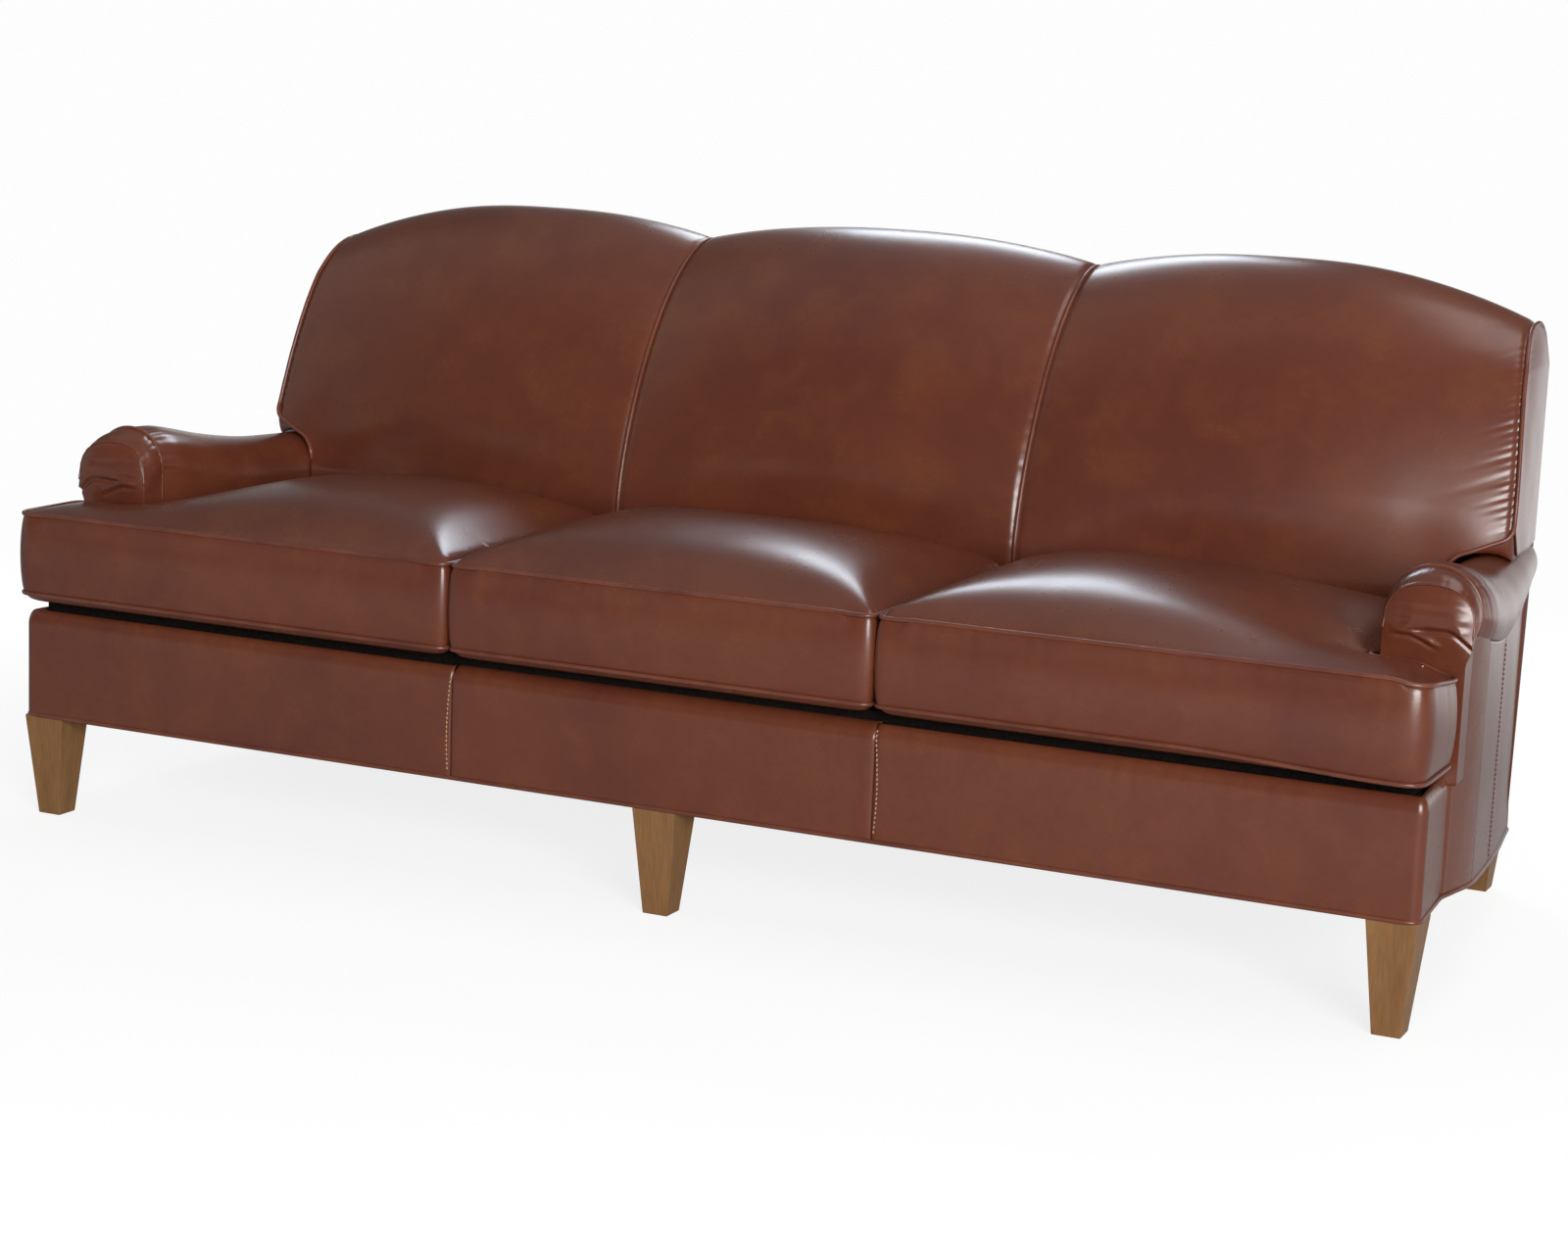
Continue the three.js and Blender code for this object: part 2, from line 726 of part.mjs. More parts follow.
const outerPad = loft(
  padStations.map(({ s, wing, rise }) => {
    const xAt = (y, z) => mix(padInner, wingEdge(y, z), s);
    if (!wing) return padSection(xAt, s, 2 * s - 1, padLow, padLow);
    const seat = wingSeatAt(xAt(endFaceY, wingLow));
    const low = Math.max(seat + wingSeat, wingLow - wingRise * (1 - rise ** wingRisePower));
    return padSection(xAt, s, 2 * s - 1, low, seat);
  }),
  [1, 2],
);
pair("back_pad", outerPad, leather);

// End panels at the sides of the back, standing on the arms
const endPanelLow = wingSeatAt(wingEdge(endFaceY, wingLow)) + gap;
const padEndTop = topAt(wingEdge(ridgeY, endTop));
const endLevels = faceShares.slice(0, -1).map((s) => mix(wingLow, padEndTop, s));
pair(
  "end_panel",
  loft(
    [endPanelLow, ...endLevels].map((z) => {
      const slope = Math.max(wingLow - z, 0);
      const y0 = faceAt(1, 1, Math.max(z, wingLow), padEndTop) + slope;
      const fall = clamp((padEndTop - z) / topDrop, 0, 1);
      const y1 = Math.min(ridgeY + topDepth * Math.sqrt(1 - (1 - fall) ** 2), bodyEnd);
      const x0 = wingAt(y0, z);
      const x1 = wingAt(y1, z);
      return [
        [x0 - endPanelThickness, y0, z],
        [x0, y0, z],
        [x1, y1, z],
        [x1 - endPanelThickness, y1, z],
      ];
    }),
    [0, 1],
  ),
  leather,
);

// Outside back, from the hem to the seam under the top
const outsideReach = sideAt(rearY);
piece(
  "outside_back",
  loft(
    acrossBack(outsideReach).map((x) => {
      const top = topAt(x) - lipDrop - lipEase;
      return [
        [x, bodyEnd + gap, hemAt(rearY)],
        [x, rearY, hemAt(rearY)],
        [x, rearY, top],
        [x, bodyEnd + gap, top],
      ];
    }),
    [1, 2],
  ),
  leather(),
);

// Dust cover under the frame
piece(
  "dust_cover",
  loft(
    along(frontBoardY, backBoardEnd).map((y) => {
      const x = sideAt(y) - dustInset;
      return [
        [-x, y, hemAt(y) + gap],
        [x, y, hemAt(y) + gap],
        [x, y, hemAt(y) + dustTop],
        [-x, y, hemAt(y) + dustTop],
      ];
    }),
    [0, 2],
  ),
  lining(),
);

// Outline with rounded corners: each corner is [x, y, radius, steps]
function roundedOutline(corners) {
  return corners.flatMap(([x, y, radius, steps], i) => {
    const here = new THREE.Vector2(x, y);
    const to = (j) => new THREE.Vector2(corners[j][0], corners[j][1]).sub(here).normalize();
    const before = to((i + corners.length - 1) % corners.length);
    const after = to((i + 1) % corners.length);
    const angle = Math.acos(clamp(before.dot(after), -1, 1));
    const reach = radius / Math.tan(angle / 2);
    const from = here.clone().addScaledVector(before, reach);
    const until = here.clone().addScaledVector(after, reach);
    const curve = new THREE.QuadraticBezierCurve(from, here, until);
    return curve.getPoints(steps);
  });
}

// Long stretches of an outline cut into even steps
function evened(outline, step) {
  return outline.flatMap((p, i) => {
    const next = outline[(i + 1) % outline.length];
    const count = Math.max(1, Math.round(p.distanceTo(next) / step));
    return shareSteps(count).slice(0, -1).map((t) => p.clone().lerp(next, t));
  });
}

// Distance to an outline, smoothed so that it has no crease between the sides
function reachInside(outline, x, y) {
  let sum = 0;
  outline.forEach((p, i) => {
    const next = outline[(i + 1) % outline.length];
    const far = Math.hypot((p.x + next.x) / 2 - x, (p.y + next.y) / 2 - y);
    sum += p.distanceTo(next) / Math.max(far, gap) ** 4;
  });
  return Math.cbrt(Math.PI / 2 / sum);
}

// Box cushion: crowned top, drawn-in boxing between two welts, flat foot
const cushionFoot = deckTop + gap;
const lowerWelt = cushionFoot + belly;
const upperWelt = lowerWelt + boxingHeight;
const topRingShares = [1, 0.97, 0.91, 0.82, 0.7, 0.54, 0.34, 0.14];
const footRingShares = [0.97, 0.88];
function cushion(corners, heart, step) {
  const rim = evened(roundedOutline(corners), step);
  const fine = evened(rim, step / 4);
  const ring = (size, z) => rim.map((p) => {
    const x = mix(heart[0], p.x, size);
    const y = mix(heart[1], p.y, size);
    return [x, y, z(x, y)];
  });
  const grown = (out, z) => rim.map((p, i) => {
    const before = rim[(i + rim.length - 1) % rim.length];
    const after = rim[(i + 1) % rim.length];
    const along = after.clone().sub(before).normalize();
    return [p.x + along.y * out, p.y - along.x * out, z];
  });
  const rise = (x, y) => {
    const near = clamp(reachInside(fine, x, y) / crownReach, 0, 1);
    const fall = smooth((Math.abs(x) - crownFallStart) / (halfLength - crownFallStart));
    return upperWelt + crown * (1 - crownFallShare * fall) * Math.sqrt(1 - (1 - near) ** 2);
  };
  const middle = (lowerWelt + upperWelt) / 2;
  const rings = [
    ring(footRingShares[1], () => cushionFoot),
    ring(footRingShares[0], () => cushionFoot + belly / 3),
    grown(0, lowerWelt - weltHeight / 2),
    grown(weltBulge, lowerWelt),
    grown(-weltBulge / 2, lowerWelt + weltHeight),
    grown(boxingBulge - weltBulge, middle),
    grown(-weltBulge / 2, upperWelt - weltHeight),
    grown(weltBulge, upperWelt),
    ...topRingShares.slice(1).map((s) => ring(s, rise)),
  ];
  const n = rim.length;
  const positions = rings.flat(2);
  const index = [];
  rings.slice(1).forEach((_, k) => {
    for (let i = 0; i < n; i++) {
      const [a, b] = [k * n + i, k * n + ((i + 1) % n)];
      index.push(a, b, b + n, a, b + n, a + n);
    }
  });
  const low = positions.length / 3;
  positions.push(...heart, cushionFoot, ...heart, rise(...heart));
  for (let i = 0; i < n; i++) {
    const j = (i + 1) % n;
    index.push(low, j, i, low + 1, (rings.length - 1) * n + i, (rings.length - 1) * n + j);
  }
  return facingOut(positions, index);
}

// Foam core, and the cavity that holds it with the zip slot through the rear boxing
const coreLow = lowerWelt + belly / 4;
function coreShape(corners, heart, clearance) {
  const drawn = corners.map(([x, y]) => [
    x - Math.sign(x - heart[0]) * (coreInset - clearance),
    y - Math.sign(y - heart[1]) * (coreInset - clearance),
  ]);
  return prism(drawn, coreLow - clearance, coreLow + coreHeight + clearance);
}
function zipSlot(middleX, rearFrom, rearTo) {
  const z = (lowerWelt + upperWelt) / 2;
  const outline = [
    [middleX - zipLength / 2, rearFrom],
    [middleX + zipLength / 2, rearFrom],
    [middleX + zipLength / 2, rearTo],
    [middleX - zipLength / 2, rearTo],
  ];
  return prism(outline, z - zipHeight / 2, z + zipHeight / 2);
}
function casing(corners, heart, middleX, step) {
  const hollow = toSolid(coreShape(corners, heart, gap));
  const slot = toSolid(zipSlot(middleX, heart[1], rearY));
  return toGeometry(toSolid(cushion(corners, heart, step)).subtract(hollow).subtract(slot));
}
const cushionStep = 52;
const cushionRear = seatDepth - cushionBackGap;
const centreHalf = valleyX - cushionSpacing / 2 - weltBulge;
const centreCorners = [
  [-centreHalf, -cushionProud, tightRound, 2],
  [centreHalf, -cushionProud, tightRound, 2],
  [centreHalf, cushionRear, cornerRound, 3],
  [-centreHalf, cushionRear, cornerRound, 3],
];
const centreHeart = [0, (cushionRear - cushionProud) / 2];
const outerStart = valleyX + cushionSpacing / 2 + weltBulge;
const earBack = armSetback - earClearance - weltBulge;
const earEnd = halfLength - earInset - weltBulge;
const notchX = rollAt(armSetback).inner - cushionArmGap - weltBulge;
const rearCornerX = rollAt(endFaceY).inner - cushionArmGap - weltBulge;
const rearCornerY = mix(seatDepth, endFaceY, wingShare(rearCornerX)) - cushionBackGap;
const outerCorners = [
  [outerStart, -cushionProud, tightRound, 2],
  [earEnd, -cushionProud, cornerRound, 3],
  [earEnd, earBack, tightRound, 2],
  [notchX, earBack, tightRound, 1],
  [rearCornerX, rearCornerY, cornerRound, 3],
  [outerStart, cushionRear, cornerRound, 3],
];
const outerMiddle = (outerStart + rearCornerX) / 2;
const outerHeart = [outerMiddle, earBack * 0.75];
piece("cushion_casing_centre", casing(centreCorners, centreHeart, 0, cushionStep), leather());
piece("cushion_core_centre", coreShape(centreCorners, centreHeart, 0), foam());
pair("cushion_casing", casing(outerCorners, outerHeart, outerMiddle, cushionStep), leather);
pair("cushion_core", coreShape(outerCorners, outerHeart, 0), foam);

// Tapered legs: square at the top and the foot, the back ones raked
function leg(x, y, rake) {
  const square = (size, sy, level) =>
    [[-1, -1], [1, -1], [1, 1], [-1, 1]].map(([i, j]) => {
      const py = sy + (j * size) / 2;
      return [x + (i * size) / 2, py, level(py)];
    });
  return loft([square(legFoot, y + rake, () => 0), square(legTop, y, (v) => hemAt(v) - gap)], [0, 1]);
}
const frontLegY = legTop / 2;
const backLegY = bodyEnd - legTop / 2;
const backLegX = sideAt(rearY) - backLegInset - legTop / 2;
pair("front_leg", leg(halfLength - legTop / 2 - gap, frontLegY, 0), legWood);
piece("front_leg_centre", leg(0, frontLegY, 0), legWood());
pair("rear_leg", leg(backLegX, backLegY, backLegRake), legWood);
piece("rear_leg_centre", leg(0, backLegY, backLegRake), legWood());

// The origin is on the floor under the middle of the sofa
const bounds = new THREE.Box3().setFromObject(body);
body.position.y = -(bounds.min.y + bounds.max.y) / 2;

export default sofa;
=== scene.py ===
import math

import bpy
import numpy as np
from mathutils import Matrix, Vector, geometry


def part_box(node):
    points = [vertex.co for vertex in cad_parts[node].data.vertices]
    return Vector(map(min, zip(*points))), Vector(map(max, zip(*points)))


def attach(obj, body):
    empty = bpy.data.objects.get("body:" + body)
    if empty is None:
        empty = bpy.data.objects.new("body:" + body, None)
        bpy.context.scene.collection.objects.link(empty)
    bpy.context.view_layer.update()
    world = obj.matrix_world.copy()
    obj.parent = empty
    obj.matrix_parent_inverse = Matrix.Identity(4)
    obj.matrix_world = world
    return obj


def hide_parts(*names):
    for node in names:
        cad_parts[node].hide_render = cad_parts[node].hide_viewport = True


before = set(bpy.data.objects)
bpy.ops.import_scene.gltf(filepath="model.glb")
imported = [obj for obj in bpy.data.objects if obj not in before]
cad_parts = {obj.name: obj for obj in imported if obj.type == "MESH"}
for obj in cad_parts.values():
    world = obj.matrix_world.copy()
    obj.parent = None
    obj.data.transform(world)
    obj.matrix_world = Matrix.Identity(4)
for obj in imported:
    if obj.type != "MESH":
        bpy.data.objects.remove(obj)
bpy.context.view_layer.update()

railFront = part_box("rail_cover_centre")[0].y  # depths below are measured from the front of the rail
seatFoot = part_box("cushion_casing_centre")[0].z
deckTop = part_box("seat_deck_pad")[1].z
print("frame loaded,", len(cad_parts), "nodes, rail front at", round(railFront, 4))


# ---- numbers and curves that several pieces share, in metres

halfLength = 1.1  # of the front rail
valleyX = 0.335  # half width of the middle hump
lineGap = 0.00015  # half the gap between two covers
hemZ, seatZ, wingZ = 0.1586, 0.499, 0.5864  # hem, foot of the back's lean, and foot of the wing
valleyZ, peakZ, endZ = 0.914, 0.946, 0.872  # top line at the valleys, the outer peaks and the ends
frontY, rimY, stripY = 0.152, 0.1953, 0.262  # arm: its front, its rim and the end of the strip
footY, endY, ridgeY = 0.5, 0.59, 0.8  # back: its foot in the middle and at the ends, and its ridge
coverY, rearY = 0.8497, 0.86  # rear ends of the side covers, and the outside back


def mix(a, b, t):
    return a + (b - a) * t


def unit(v):
    return v / np.maximum(np.linalg.norm(v, axis=-1, keepdims=True), 1e-12)


def smooth(t):
    # 3t^2 - 2t^3 on 0 to 1
    t = np.clip(t, 0, 1)
    return t * t * (3 - 2 * t)


def bell(x, width):
    # e to the minus (x / width) squared
    return np.exp(-((x / width) ** 2))


def xyz(x, y, z):
    return np.stack(np.broadcast_arrays(x, y, z), -1)


def sideAt(y):
    # half width of the body: nearly straight beside the rail, a quarter turn over the strip,
    # then drawn in as depth^1.2
    y = np.asarray(y, float)
    rail = halfLength - 0.009 * np.clip(y / frontY, 0, 1)
    turn = 1.091 + 0.015 * np.sin(np.pi / 2 * np.clip((y - frontY) / 0.11, 0, 1))
    rear = 1.106 - 0.075 * np.clip((y - stripY) / 0.598, 0, 1) ** 1.2
    return np.where(y < frontY, rail, np.where(y < stripY, turn, rear))


def drawnIn(y, z):
    # how far the covers pull in from the body's side towards the rear, most at half height
    high = (0.55 + 0.45 * smooth((z - 0.1) / 0.08)) * (1 - smooth((z - 0.43) / 0.07))
    return 0.0068 * smooth((y - 0.55) / 0.3) * high


def hemAt(y):
    # lower edge: level at the front, then dropping as depth^1.2
    return hemZ - 0.0616 * np.clip((np.asarray(y, float) - 0.2) / 0.66, 0, 1) ** 1.2


def rollAt(y):
    # roll of the arm: inside face, outside, radius, middle and height at depth y
    y = np.asarray(y, float)
    inner = 0.978 - 0.017 * np.clip((y - frontY) / 0.438, 0, 1)
    outer = sideAt(np.maximum(y, stripY)) + 0.008
    top = 0.55 + 0.052 * bell(y - frontY, 0.215)
    r = (outer - inner) / 2
    return inner, outer, r, (inner + outer) / 2, top - r


endTopX = float(sideAt(endY)) - 0.046
peakX = mix(valleyX, endTopX, 0.446)


def topAt(x):
    # top line of the back: three humps that fall from their peaks as a power of the distance
    a = np.abs(x)
    middle = valleyZ + 0.034 * (1 - (np.minimum(a, valleyX) / valleyX) ** 2.3)
    rise = peakZ - 0.032 * (np.clip(peakX - a, 0, None) / (peakX - valleyX)) ** 2.3
    fall = peakZ - 0.074 * np.clip((a - peakX) / (endTopX - peakX), 0, 1) ** 2.2
    return np.where(a <= valleyX, middle, np.where(a < peakX, rise, fall))


def wingAt(y, z):
    # side of the back: leans in to the top, and draws in to the width of the body at the rear
    x = endTopX + 0.032 * (1 - np.clip((z - wingZ) / (endZ - wingZ), 0, 1) ** 1.8)
    share = np.clip((y - endY) / (coverY - endY), 0, 1)
    return mix(x, np.minimum(x, float(sideAt(coverY)) + 0.002), share)


def faceAt(across, bow, z, top):
    # depth of the inside back: upright to the seat line, leaning back, rounded at the top,
    # crowned between its welts
    w = np.clip((z - seatZ) / (top - seatZ), 0, 1)
    foot = mix(footY, endY, across)
    straight = mix(0.66, 0.55, across)
    lean = straight * w ** mix(1.6, 1.0, across) + (1 - straight) * (1 - np.sqrt(1 - w**6))
    out = 0.026 * (1 - np.abs(bow) ** 2.2) * smooth(w / 0.3) * (1 - w**4)
    return mix(foot, ridgeY, lean) - out


def ripple(t, wave, seed, parts=5):
    # sum of sines of nearby wave lengths with seeded phases, from -1 to 1
    rng = np.random.default_rng(seed)
    lengths = wave * rng.uniform(0.6, 1.9, parts)
    phases = rng.uniform(0, 2 * np.pi, parts)
    return sum(np.sin(2 * np.pi * t / l + p) for l, p in zip(lengths, phases)) / parts


def field(x, y, wave, seed, parts=7):
    # smooth random height over a surface: sum of plane waves in seeded directions
    rng = np.random.default_rng(seed)
    turns = rng.uniform(0, np.pi, parts)
    lengths = wave * rng.uniform(0.6, 1.8, parts)
    phases = rng.uniform(0, 2 * np.pi, parts)
    return sum(
        np.sin(2 * np.pi * (x * np.cos(a) + y * np.sin(a)) / l + p)
        for a, l, p in zip(turns, lengths, phases)
    ) / parts


def gathers(along, away, spacing, reach, depth, seed):
    # puckers square to a seam: each a narrow bell across, of seeded depth and length, fading away from it
    rng = np.random.default_rng(seed)
    depths, reaches = rng.uniform(0.2, 1, 256), rng.uniform(0.35, 1, 256)
    u = along / spacing + 0.35 * ripple(along, spacing * 4, seed + 1)
    k = np.floor(u).astype(int) % 256
    f = u - np.floor(u) - 0.5
    fade = np.exp(-((np.maximum(away, 0) / (reach * reaches[k])) ** 1.4))
    return -depth * depths[k] * bell(f, 0.21) * fade


# ---- mesh making

def makePiece(name, points, faces, material, body="frame", nodes=(), slot=None):
    mesh = bpy.data.meshes.new(name)
    placed = np.array(points, float).reshape(-1, 3)
    placed[:, 1] += railFront
    mesh.from_pydata(placed.tolist(), [], [list(f) for group in faces for f in np.asarray(group).tolist()])
    mesh.materials.append(material)
    mesh.polygons.foreach_set("use_smooth", np.full(len(mesh.polygons), True))
    mesh.update()
    piece = bpy.data.objects.new(name, mesh)
    bpy.context.scene.collection.objects.link(piece)
    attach(piece, body)
    if nodes:
        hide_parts(*nodes)
    return piece


def gridFaces(rows, cols, closeRows=False, closeCols=False):
    i = np.arange(rows if closeRows else rows - 1)[:, None]
    j = np.arange(cols if closeCols else cols - 1)[None]
    down, right = (i + 1) % rows, (j + 1) % cols
    return np.stack([i * cols + j, i * cols + right, down * cols + right, down * cols + j], -1).reshape(-1, 4)


def outward(points, faces):
    # turns every face round if the volume inside them is negative
    p = np.asarray(points).reshape(-1, 3)
    volume = sum(
        np.einsum("ij,ij->i", p[f[:, 0]], np.cross(p[f[:, k]], p[f[:, k + 1]])).sum()
        for f in faces
        for k in range(1, f.shape[1] - 1)
    )
    return faces if volume > 0 else [f[:, ::-1] for f in faces]


def closedLoft(sections):
    # sections[k, i]: closed profiles along a path, with a flat face over each end
    rows, cols = sections.shape[:2]
    quads = gridFaces(rows, cols, closeCols=True)
    ends = np.stack([np.arange(cols)[::-1], (rows - 1) * cols + np.arange(cols)])
    return sections.reshape(-1, 3), outward(sections, [quads, ends])


def surfaceNormals(grid):
    # cross product of the two grid directions
    return unit(np.cross(np.gradient(grid, axis=1), np.gradient(grid, axis=0)))


def evenPath(points, step):
    # the same line with points at even distances
    points = np.asarray(points, float)
    reach = np.concatenate([[0], np.cumsum(np.linalg.norm(np.diff(points, axis=0), axis=1))])
    at = np.linspace(0, reach[-1], max(3, int(round(reach[-1] / step)) + 1))
    return np.stack([np.interp(at, reach, points[:, k]) for k in range(3)], -1)


def softened(points, rounds=3, closed=False):
    # moves each point of a line a little towards the middle of its neighbours
    points = np.array(points, float)
    for _ in range(rounds):
        near = (np.roll(points, 1, 0) + np.roll(points, -1, 0)) / 2
        if not closed:
            near[0], near[-1] = points[0], points[-1]
        points = mix(points, near, 0.5)
    return points


def tube(path, radius, facing, sides=10, closed=False):
    # circle of the radius carried along the path, started in the direction of facing
    path = np.asarray(path, float)
    if closed:
        along = unit(np.roll(path, -1, 0) - np.roll(path, 1, 0))
    else:
        along = unit(np.gradient(path, axis=0))
    facing = np.broadcast_to(np.asarray(facing, float), path.shape)
    across = unit(np.cross(along, facing))
    up = np.cross(across, along)
    turn = np.linspace(0, 2 * np.pi, sides, endpoint=False)[None, :, None]
    radius = np.broadcast_to(np.asarray(radius, float), (len(path),))[:, None, None]
    rings = path[:, None] + radius * (np.cos(turn) * across[:, None] + np.sin(turn) * up[:, None])
    faces = [gridFaces(len(path), sides, closeRows=closed, closeCols=True)]
    if not closed:
        faces.append(np.stack([np.arange(sides)[::-1], (len(path) - 1) * sides + np.arange(sides)]))
    return rings.reshape(-1, 3), outward(rings, faces)


def joined(parts):
    # several (points, faces) as one
    points, faces, start = [], [], 0
    for p, f in parts:
        points.append(np.asarray(p).reshape(-1, 3))
        faces += [g + start for g in f]
        start += len(points[-1])
    return np.concatenate(points), faces


def mirroredPart(points, faces):
    return np.asarray(points) * [-1, 1, 1], [f[:, ::-1] for f in faces]


def bothSides(name, part, material, nodes=(), slot=None):
    # the part on the right, and its mirror image on the left
    return [
        makePiece(f"{name}_{side}", points, faces, material, "frame", [f"{n}_{side}" for n in nodes], slot)
        for side, (points, faces) in (("right", part), ("left", mirroredPart(*part)))
    ]


stitch = {"length": 0.0048, "pitch": 0.0068, "radius": 0.0011, "tilt": 0.12}


def stitches(path, facing):
    # one short six-sided bead, bowed at its middle, repeated along the path
    path = evenPath(path, stitch["pitch"])
    along = unit(np.gradient(path, axis=0))
    across = unit(np.cross(along, np.broadcast_to(np.asarray(facing, float), path.shape)))
    u = np.array([-0.5, -0.36, 0, 0.36, 0.5])[:, None] * stitch["length"]
    r = np.array([0.25, 0.85, 1, 0.85, 0.25])[:, None] * stitch["radius"]
    lift = np.array([-0.6, 0.1, 0.5, 0.1, -0.6])[:, None] * stitch["radius"]
    turn = np.linspace(0, 2 * np.pi, 6, endpoint=False)
    bead = xyz(u, stitch["tilt"] * u + r * np.cos(turn), lift + r * np.sin(turn)).reshape(-1, 3)
    frames = np.stack([along, across, np.cross(across, along)], 1)[1:-1]
    points = path[1:-1, None] + np.einsum("bk,nkj->nbj", bead, frames)
    faces = [gridFaces(5, 6, closeCols=True), np.stack([np.arange(6)[::-1], 24 + np.arange(6)])]
    starts = np.arange(len(points))[:, None, None] * 30
    faces = [(f[None] + starts).reshape(-1, f.shape[1]) for f in outward(points[0], faces)]
    return points.reshape(-1, 3), faces


# ---- materials

def put(tree, kind, given={}, **settings):
    # one shader node; given names its sockets, each with a plain value or another node's output
    made = tree.nodes.new("ShaderNode" + kind)
    for label, value in settings.items():
        setattr(made, label, value)
    for label, value in given.items():
        if isinstance(value, bpy.types.NodeSocket):
            tree.links.new(value, made.inputs[label])
        else:
            made.inputs[label].default_value = value
    return made


def ranged(tree, value, low, high, to0, to1, **settings):
    # value from low to high becomes to0 to to1
    given = {"Value": value, "From Min": low, "From Max": high, "To Min": to0, "To Max": to1}
    return put(tree, "MapRange", given, **settings).outputs["Result"]


def sums(tree, how, a, b):
    return put(tree, "Math", {0: a, 1: b}, operation=how).outputs[0]


def noise(tree, place, scale, detail, rough=0.5, distortion=0.0):
    given = {"Vector": place, "Scale": scale, "Detail": detail, "Roughness": rough, "Distortion": distortion}
    return put(tree, "TexNoise", given).outputs["Fac"]


def newMaterial(name):
    # an emptied material, its tree and the Object coordinates
    material = bpy.data.materials.new(name)
    material.use_nodes = True
    tree = material.node_tree
    tree.nodes.clear()
    return material, tree, put(tree, "TexCoord").outputs["Object"]


def finished(tree, height, strength, distance, given):
    # a Principled shader with the height as its bump, led to the output
    raised = put(tree, "Bump", {"Height": height, "Strength": strength, "Distance": distance})
    shader = put(tree, "BsdfPrincipled", {"Normal": raised.outputs["Normal"], **given})
    put(tree, "OutputMaterial", {"Surface": shader.outputs["BSDF"]})


def leatherGroup():
    # hide colour, grain height and gloss: broad mottling, clouds and flecks, and fine pores as cell edges
    tree = bpy.data.node_groups.new("leatherHide", "ShaderNodeTree")
    for label, kind in (
        ("Deep", "Color"), ("Middle", "Color"), ("Bright", "Color"),
        ("Mottle Size", "Float"), ("Grain Size", "Float"), ("Roughness", "Float"),
    ):
        tree.interface.new_socket(label, in_out="INPUT", socket_type="NodeSocket" + kind)
    for label, kind in (("Color", "Color"), ("Roughness", "Float"), ("Height", "Float")):
        tree.interface.new_socket(label, in_out="OUTPUT", socket_type="NodeSocket" + kind)
    given = tree.nodes.new("NodeGroupInput").outputs
    place = put(tree, "TexCoord").outputs["Object"]

    def mixed(fac, a, b):
        return put(tree, "Mix", {0: fac, 6: a, 7: b}, data_type="RGBA").outputs[2]

    broad = noise(tree, place, given["Mottle Size"], 3, 0.55, 0.4)
    cloud = noise(tree, place, 14.0, 4, 0.6, 0.3)
    fleck = noise(tree, place, 95.0, 3, 0.6)
    colour = mixed(ranged(tree, broad, 0.34, 0.6, 0, 1), given["Deep"], given["Middle"])
    colour = mixed(ranged(tree, cloud, 0.45, 0.75, 0, 0.6), colour, given["Bright"])
    colour = mixed(ranged(tree, fleck, 0.35, 0.55, 0.09, 0), colour, (0.02, 0.006, 0.004, 1))
    sized = {"Vector": place, "Scale": given["Grain Size"]}
    cells = put(tree, "TexVoronoi", sized, feature="DISTANCE_TO_EDGE")
    grain = ranged(tree, cells.outputs["Distance"], 0.0, 0.22, 0, 1)
    height = 0
    for part, weight in (
        (grain, 0.07),
        (noise(tree, place, 380.0, 2), 0.08),
        (noise(tree, place, 46.0, 3, 0.5, 0.15), 0.5),
    ):
        height = sums(tree, "ADD", height, sums(tree, "MULTIPLY", part, weight))
    gloss = sums(tree, "ADD", given["Roughness"], ranged(tree, cloud, 0.3, 0.7, 0.008, -0.008))
    gloss = sums(tree, "ADD", gloss, ranged(tree, fleck, 0.3, 0.7, 0.004, -0.004))
    out = tree.nodes.new("NodeGroupOutput").inputs
    for label, value in (("Color", colour), ("Roughness", gloss), ("Height", height)):
        tree.links.new(value, out[label])
    return tree


leatherHide = leatherGroup()


def leather(name, deep, middle, bright, roughness=0.28, mottle=2.2, bump=0.12):
    material, tree, place = newMaterial(name)
    hide = put(tree, "Group", node_tree=leatherHide)
    for label, value in (
        ("Deep", (*deep, 1)), ("Middle", (*middle, 1)), ("Bright", (*bright, 1)),
        ("Mottle Size", mottle), ("Grain Size", 620.0), ("Roughness", roughness),
    ):
        hide.inputs[label].default_value = value
    finished(tree, hide.outputs["Height"], bump, 0.0012, {
        "Base Color": hide.outputs["Color"],
        "Roughness": hide.outputs["Roughness"],
        "IOR": 1.47,
        "Coat Weight": 0.12,
        "Coat Roughness": 0.22,
        "Coat IOR": 1.45,
    })
    return material


cognac = leather("cognacLeather", (0.095, 0.022, 0.012), (0.122, 0.031, 0.014), (0.145, 0.041, 0.014))
cognacWelt = leather("cognacWeltLeather", (0.1, 0.026, 0.014), (0.14, 0.038, 0.02), (0.19, 0.06, 0.032),
                     roughness=0.33, mottle=9, bump=0.1)


def ramp(tree, value, low, dark, high, pale):
    made = put(tree, "ValToRGB", {"Fac": value})
    for element, position, colour in zip(made.color_ramp.elements, (low, high), (dark, pale)):
        element.position, element.color = position, (*colour, 1)
    return made.outputs["Color"]


